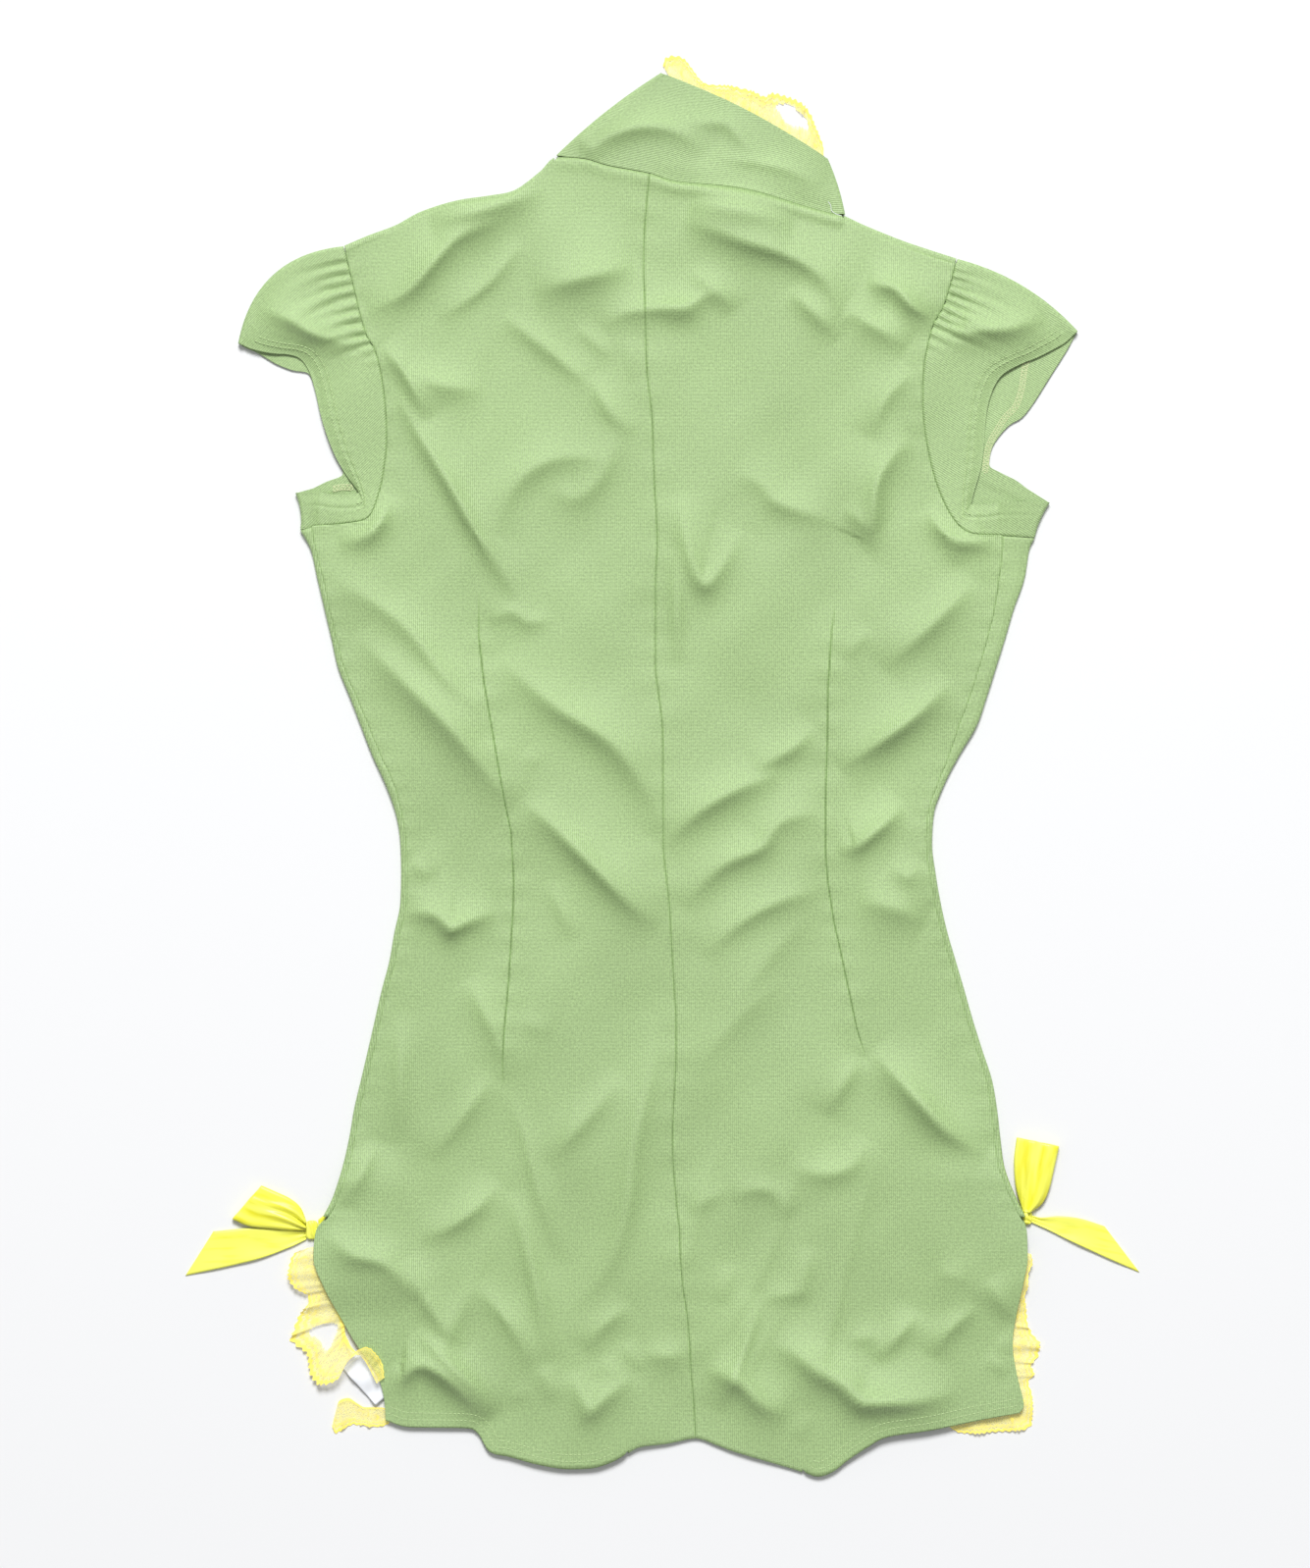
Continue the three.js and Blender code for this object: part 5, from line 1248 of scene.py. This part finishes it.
RIBBON_LEVEL = 0.45
TAIL_POINTS, TAIL_LINES = 46, 15
LOOP_POINTS, LOOP_LINES, LOOP_TURNS, LOOP_FLATNESS = 40, 17, 11, 0.6


def ribbon_plan(first, second, count, lines):
    """Plan places of a ribbon between its two edges, and its width along the way."""
    first, second = even(first, count), even(second, count)
    across = np.linspace(0, 1, lines)[:, None]
    return first + (second - first) * across[..., None], across, np.linalg.norm(second - first, axis=1)


def ribbon_tail(node, first, second, arch, level=RIBBON_LEVEL, crease_height=0.5):
    """Ribbon that lies out from the knot, with a soft arch and one long crease."""
    plan, across, width = ribbon_plan(first, second, TAIL_POINTS, TAIL_LINES)
    along = np.linspace(0, 1, TAIL_POINTS)
    height = level + arch * np.sin(np.pi * along) * (0.6 + 0.4 * np.cos(2 * np.pi * across))
    height = height + crease_height * np.exp(-along * 5) * (1 + np.sin(2 * np.pi * (2 * across + 0.2)))
    height = height + 0.25 * np.sin(9 * along + 4 * across) ** 2
    walk = walked((plan[0] + plan[-1]) / 2)
    grain = np.stack(np.broadcast_arrays(across * width, walk), axis=-1)
    return cloth(f"{node}_satin", raised(plan, height), grain, RIBBON_WALL, "ribbon", [node])


def ribbon_loop(node, first, second, puff, pleats, knot_height=2.2, end_height=3.4):
    """Ribbon that runs out from the knot on the table, turns over and comes back on top."""
    plan, across, width = ribbon_plan(first, second, LOOP_POINTS, LOOP_LINES)
    out = np.linspace(0, 1, LOOP_POINTS)
    low = RIBBON_LEVEL
    puffed = puff * np.sin(np.pi * out) ** 0.7 * (1 - (2 * across - 1) ** 4 * 0.55)
    high = knot_height + (end_height - knot_height) * out + puffed
    for place, slant, height, breadth in pleats:
        high = high + height * bell(across - place - slant * out, breadth) * np.exp(-out * 1.7)
    high = np.maximum(high, low + 0.8)
    outward = unit(plan[:, -1] - plan[:, -3])
    radius = (high[:, -1] - low) / 2
    turns = []
    for turn in np.linspace(-0.5, 0.5, LOOP_TURNS)[1:-1]:
        angle = turn * math.pi
        here = plan[:, -1] + outward * (radius * math.cos(angle))[:, None] * LOOP_FLATNESS
        turns.append(raised(here, low + radius * (1 + math.sin(angle))))
    grid = np.concatenate([raised(plan, low), np.stack(turns, axis=1), raised(plan, high)[:, ::-1]], axis=1)
    grain = np.stack(np.broadcast_arrays(across * width.mean(), walked(grid[LOOP_LINES // 2])), axis=-1)
    return cloth(f"{node}_satin", grid, grain, RIBBON_WALL, "loop", [node])


def ribbon_knot(node, low, high, height, turned_by):
    """Knot of wrapped ribbon: a flattened ball with folds round it."""
    ball = bmesh.new()
    bmesh.ops.create_uvsphere(ball, u_segments=40, v_segments=24, radius=1.0)
    centre = [(start + end) / 2 for start, end in zip(low, high)]
    half = [(end - start) / 2 for start, end in zip(low, high)]
    uv = ball.loops.layers.uv.new("grain")
    for vert in ball.verts:
        x, y, z = vert.co
        square = [math.copysign(abs(value) ** 0.62, value) for value in (x, y, z)]
        folds = 0.13 * math.sin(11 * (x * math.cos(turned_by) + y * math.sin(turned_by)) + 1.3)
        folds *= max(z, 0) ** 0.3
        vert.co = Vector((
            centre[0] + half[0] * square[0],
            centre[1] + half[1] * square[1],
            height * (0.5 + square[2] / 2) * (1 + folds) + 0.1,
        )) * MM
    for face in ball.faces:
        for loop in face.loops:
            loop[uv].uv = loop.vert.co.xy / MM
    bmesh.ops.recalc_face_normals(ball, faces=ball.faces)
    return finished(f"{node}_satin", ball, "loop", 0, [node])


# Corners of the care label, between the layers and outside, and its flat size
LABEL_INNER = ((-164.5, -336.0), (-147.5, -358.0))
LABEL_OUTER = ((-187.5, -353.0), (-168.0, -374.5))
LABEL_SIZE = (28, 29.7)


def label():
    """Blank satin label, a little wrinkled, coming out between the layers at the left slit."""
    across, out = np.linspace(0, 1, 26)[:, None], np.linspace(0, 1, 36)[None]
    inner, outer = (
        near + (far - near) * across[..., None] for near, far in np.array((LABEL_INNER, LABEL_OUTER))
    )
    plan = inner * (1 - out[..., None]) + outer * out[..., None]
    shown = np.clip((out - 0.35) / 0.65, 0, 1)
    wrinkles = 0.7 * np.sin(9 * across + 5 * out) + 0.35 * np.sin(17 * across - 9 * out)
    grain = np.stack(np.broadcast_arrays(across * LABEL_SIZE[0], out * LABEL_SIZE[1]), axis=-1)
    grid = raised(plan, middle(plan) + shown * wrinkles)
    return cloth("care_label_satin", grid, grain, LABEL_WALL, "label", ["care_label"])


# Sewing thread: its arch over the cloth, the sunk ends of a dash, their width and the step along its line
THREAD_ARCH, THREAD_DIP, THREAD_END_WIDTH, THREAD_STEP = 0.12, -0.05, 0.55, 0.6


def stitches(name, path, height_of, pitch=2.5, length=1.8, thickness=0.5, finish="thread"):
    """A row of thread dashes along a line, lying on the cloth."""
    path = even(path, max(int(walked(np.asarray(path, float))[-1] / THREAD_STEP), 8))
    walk = walked(path)
    starts = (np.arange(int(walk[-1] / pitch)) + 0.1) * pitch
    stops = starts[:, None] + np.linspace(0, length, 4)
    rows = np.stack([np.interp(stops, walk, line) for line in path.T], axis=-1)
    heights = height_of(rows) + KNIT_WALL / 2 + np.array([THREAD_DIP, THREAD_ARCH, THREAD_ARCH, THREAD_DIP])
    thread = bmesh.new()
    for points, height in zip(rows, heights):
        made = bmesh.ops.create_grid(thread, x_segments=3, y_segments=3, size=1.0)
        aside = leftward(unit(points[-1] - points[0]))
        for vert in made["verts"]:
            along, across = round((vert.co.x + 1) * 1.5), round((vert.co.y + 1) * 1.5)
            spread = (across / 3 - 0.5) * thickness * (1 if 0 < along < 3 else THREAD_END_WIDTH)
            arch = THREAD_ARCH if 0 < across < 3 else 0
            vert.co = Vector((*(points[along] + aside * spread), height[along] + arch)) * MM
    return finished(name, thread, finish, 0, ())


def leg_hem(side):
    """Hem line of one leg, slit to inseam or inseam to slit."""
    hem = even(HEM_LINE, 400)
    return hem[(hem[:, 0] - INSEAM_END[side]) * side > 2]


def sleeve_hem(side, inside, first, last):
    """Line beside the hem of a sleeve's upper layer, between two places of its table."""
    rows = line_at(SLEEVE_UPPER[side], np.linspace(first, last, 80))
    return rows[:, 2:4] + unit(rows[:, :2] - rows[:, 2:4]) * inside


# Overlocked edges that show inside the front layers of the sleeves
OVERLOCK_PITCH = 1.1
OVERLOCK = {
    "sleeve_right_overlock": [
        (216, 241), (212.5, 234), (210.5, 221), (207, 210.5), (201, 204), (196.5, 197), (192, 189),
        (190, 181), (189, 171),
    ],
    "sleeve_left_overlock": [(-193, 161.8), (-187, 163), (-181, 162.6)],
}


def inside_sleeve(plan):
    """Height of the front layer's inner face in a sleeve."""
    return lower(plan) + 0.45


# Stitched lines: how far inside the hems, where the sleeves' rows end, the collar seam and a loose thread
LEG_STITCHES = (4.5, 8.5)
SLEEVE_STITCHES = (6.0, 9.5)
SLEEVE_STITCH_ENDS = {LEFT: (0.6, 11.5), RIGHT: (0.6, 12.5)}
NECK_STITCHES = [(-60, 352.5), (-46, 351.5), (-32, 347.5), (-20, 345), (-9, 343)]
THREAD_END = [(97, 330), (98.6, 327.5), (98.9, 325), (101.5, 322.8), (105, 321.6)]


def sewing():
    """Overlocked edges inside the sleeves and stitch rows on the upper layer."""
    rows = []
    for name, line in OVERLOCK.items():
        count = int(walked(np.array(line, float))[-1] / OVERLOCK_PITCH)
        edges = [beside(even(line, count), aside) for aside in (-1.5, 1.5)]
        zigzag = np.stack([edges[k % 2][k] for k in range(count)])
        rows.append(stitches(f"{name}_zigzag", zigzag, inside_sleeve, 1.5, 1.45, 0.7, "overlock"))
        for k, edge in enumerate(edges):
            rows.append(stitches(f"{name}_edge_{k}", edge, inside_sleeve, 1.5, 1.4, 0.7, "overlock"))
    for side, name in NAMES.items():
        for k, inside in enumerate(LEG_STITCHES):
            rows.append(stitches(f"hem_{name}_stitches_{k}", beside(leg_hem(side), inside), upper))
        for k, inside in enumerate(SLEEVE_STITCHES):
            path = sleeve_hem(side, inside, *SLEEVE_STITCH_ENDS[side])
            rows.append(stitches(f"sleeve_{name}_stitches_{k}", path, upper))
    rows.append(stitches("neck_thread_end", THREAD_END, upper, 0.9, 0.95, 0.35, "label"))
    rows.append(stitches("neck_stitches", NECK_STITCHES, upper))
    return rows


def bows():
    """A satin bow at the top of each slit; one loop and one tail of each are hidden under the front."""
    return [
        ribbon_knot("bow_left_knot", (-209, -277.5), (-201.5, -266.5), 3.2, 0.3),
        ribbon_loop(
            "bow_left_loop",
            [(-208.5, -267), (-212, -259), (-218, -253.8), (-226, -250), (-234, -246.5)],
            [(-208.5, -272.3), (-219, -272), (-230, -271), (-241, -270), (-251, -266)],
            1.0,
            [(0.2, 0.2, 3.4, 0.08), (0.42, 0.05, -2.6, 0.07), (0.66, -0.2, 4.2, 0.11), (0.9, 0, 2, 0.06)]),
        ribbon_tail(
            "bow_left_tail", [(-208.5, -273), (-225, -271.8), (-240, -271), (-263, -273)],
            [(-208.5, -277.5), (-220, -283), (-240, -290), (-279.4, -299)], 1.2),
        ribbon_loop(
            "bow_left_hidden_loop", [(-201.5, -266), (-190, -258), (-174, -254)],
            [(-201.5, -271), (-190, -273), (-174, -278)], 0.2, [], 2.0, 2.0),
        ribbon_tail(
            "bow_left_hidden_tail", [(-201.5, -272), (-190, -275), (-172, -281)],
            [(-201.5, -277), (-192, -287), (-177, -299)], 0.0, 0.4, 0.1),
        ribbon_knot("bow_right_knot", (210, -269), (216.5, -260), 3.2, 1.2),
        ribbon_loop(
            "bow_right_loop", [(211, -261.5), (208.3, -253), (206.5, -243), (206, -232), (207.5, -218.8)],
            [(215.5, -262), (222.5, -256.5), (226.5, -248), (229.5, -235), (232, -224)],
            1.2, [(0.1, 0.3, 3.4, 0.09), (0.42, -0.1, -2.4, 0.08), (0.75, 0.05, 3.6, 0.12)]),
        ribbon_tail(
            "bow_right_tail", [(215, -263), (222, -264.8), (232, -264), (245, -265.5), (259, -270)],
            [(215, -267), (226, -272), (238, -278), (255, -286), (279.5, -297)], 1.2),
        ribbon_loop(
            "bow_right_hidden_loop", [(210.5, -260), (198, -252), (182, -249)],
            [(210.5, -264.5), (198, -268), (182, -273)], 0.2, [], 2.0, 2.0),
        ribbon_tail(
            "bow_right_hidden_tail", [(210.5, -265.5), (198, -270), (182, -277)],
            [(210.5, -267.8), (200, -281), (186, -296)], 0.0, 0.4, 0.1),
    ]


def laces():
    """The collar's lace and those of the slits: waves, swing and depth of their lobes."""
    return [
        lace("collar_lace", COLLAR_LACE, 6, 1.3, 1.1),
        lace("slit_lace_left", LEFT_SLIT_LACE, 7, 1.5, 1.1),
        lace("slit_lace_left_front", LEFT_FRONT_SLIT_LACE, 3, 1.0, 0.8),
        lace("slit_lace_right", RIGHT_SLIT_LACE, 8, 1.2, 0.7),
    ]


backs = {side: back_panel(side) for side in NAMES}
fronts = {side: front_panel(side) for side in NAMES}
sleeves = {side: sleeve(side) for side in NAMES}
collar_piece = collar()
lace_pieces = laces()
bow_pieces = bows()
label_piece = label()
stitch_rows = sewing()


TABLE_COLOR = (0.80, 0.805, 0.815, 1)
WORLD_LIGHT = 0.34
LIGHTS = [
    ("window", (0.0, 5.2, 6.2), 3.2, 750.0),
    ("overhead", (0.2, -0.3, 2.2), 1.6, 2.0),
]

# The photograph takes in this much of the table, round this place
PICTURE_HEIGHT = 0.9189
PICTURE_CENTRE = (-0.0043, -0.0109)
CAMERA_HEIGHT = 3.0
SENSOR = 24.0


def stage():
    """Plain pale table, soft light from the top of the picture and an even white world."""
    top = bmesh.new()
    bmesh.ops.create_grid(top, x_segments=1, y_segments=1, size=6.0)
    mesh = bpy.data.meshes.new("table_top")
    top.to_mesh(mesh)
    top.free()
    table = bpy.data.objects.new("table_top", mesh)
    bpy.context.collection.objects.link(table)
    mesh.materials.append(Finish("pale table", TABLE_COLOR).done(Base_Color=TABLE_COLOR, Roughness=0.8))
    for name, place, size, power in LIGHTS:
        lamp = bpy.data.lights.new(name, "AREA")
        lamp.shape = "DISK"
        lamp.size = size
        lamp.energy = power
        holder = bpy.data.objects.new(name, lamp)
        holder.location = place
        holder.rotation_euler = (-Vector(place)).to_track_quat("-Z", "Y").to_euler()
        bpy.context.collection.objects.link(holder)
    world = bpy.data.worlds.new("studio")
    world.use_nodes = True
    sky = world.node_tree.nodes["Background"].inputs
    sky["Color"].default_value = (1, 1, 1, 1)
    sky["Strength"].default_value = WORLD_LIGHT
    bpy.context.scene.world = world
    bpy.context.scene.view_settings.view_transform = "Standard"


def camera():
    """Camera straight above the table, taking in what the photograph does."""
    lens = bpy.data.cameras.new("camera")
    lens.sensor_fit = "VERTICAL"
    lens.sensor_height = SENSOR
    lens.lens = SENSOR * CAMERA_HEIGHT / PICTURE_HEIGHT
    holder = bpy.data.objects.new("camera", lens)
    holder.location = (*PICTURE_CENTRE, CAMERA_HEIGHT)
    bpy.context.collection.objects.link(holder)
    bpy.context.scene.camera = holder


stage()
camera()
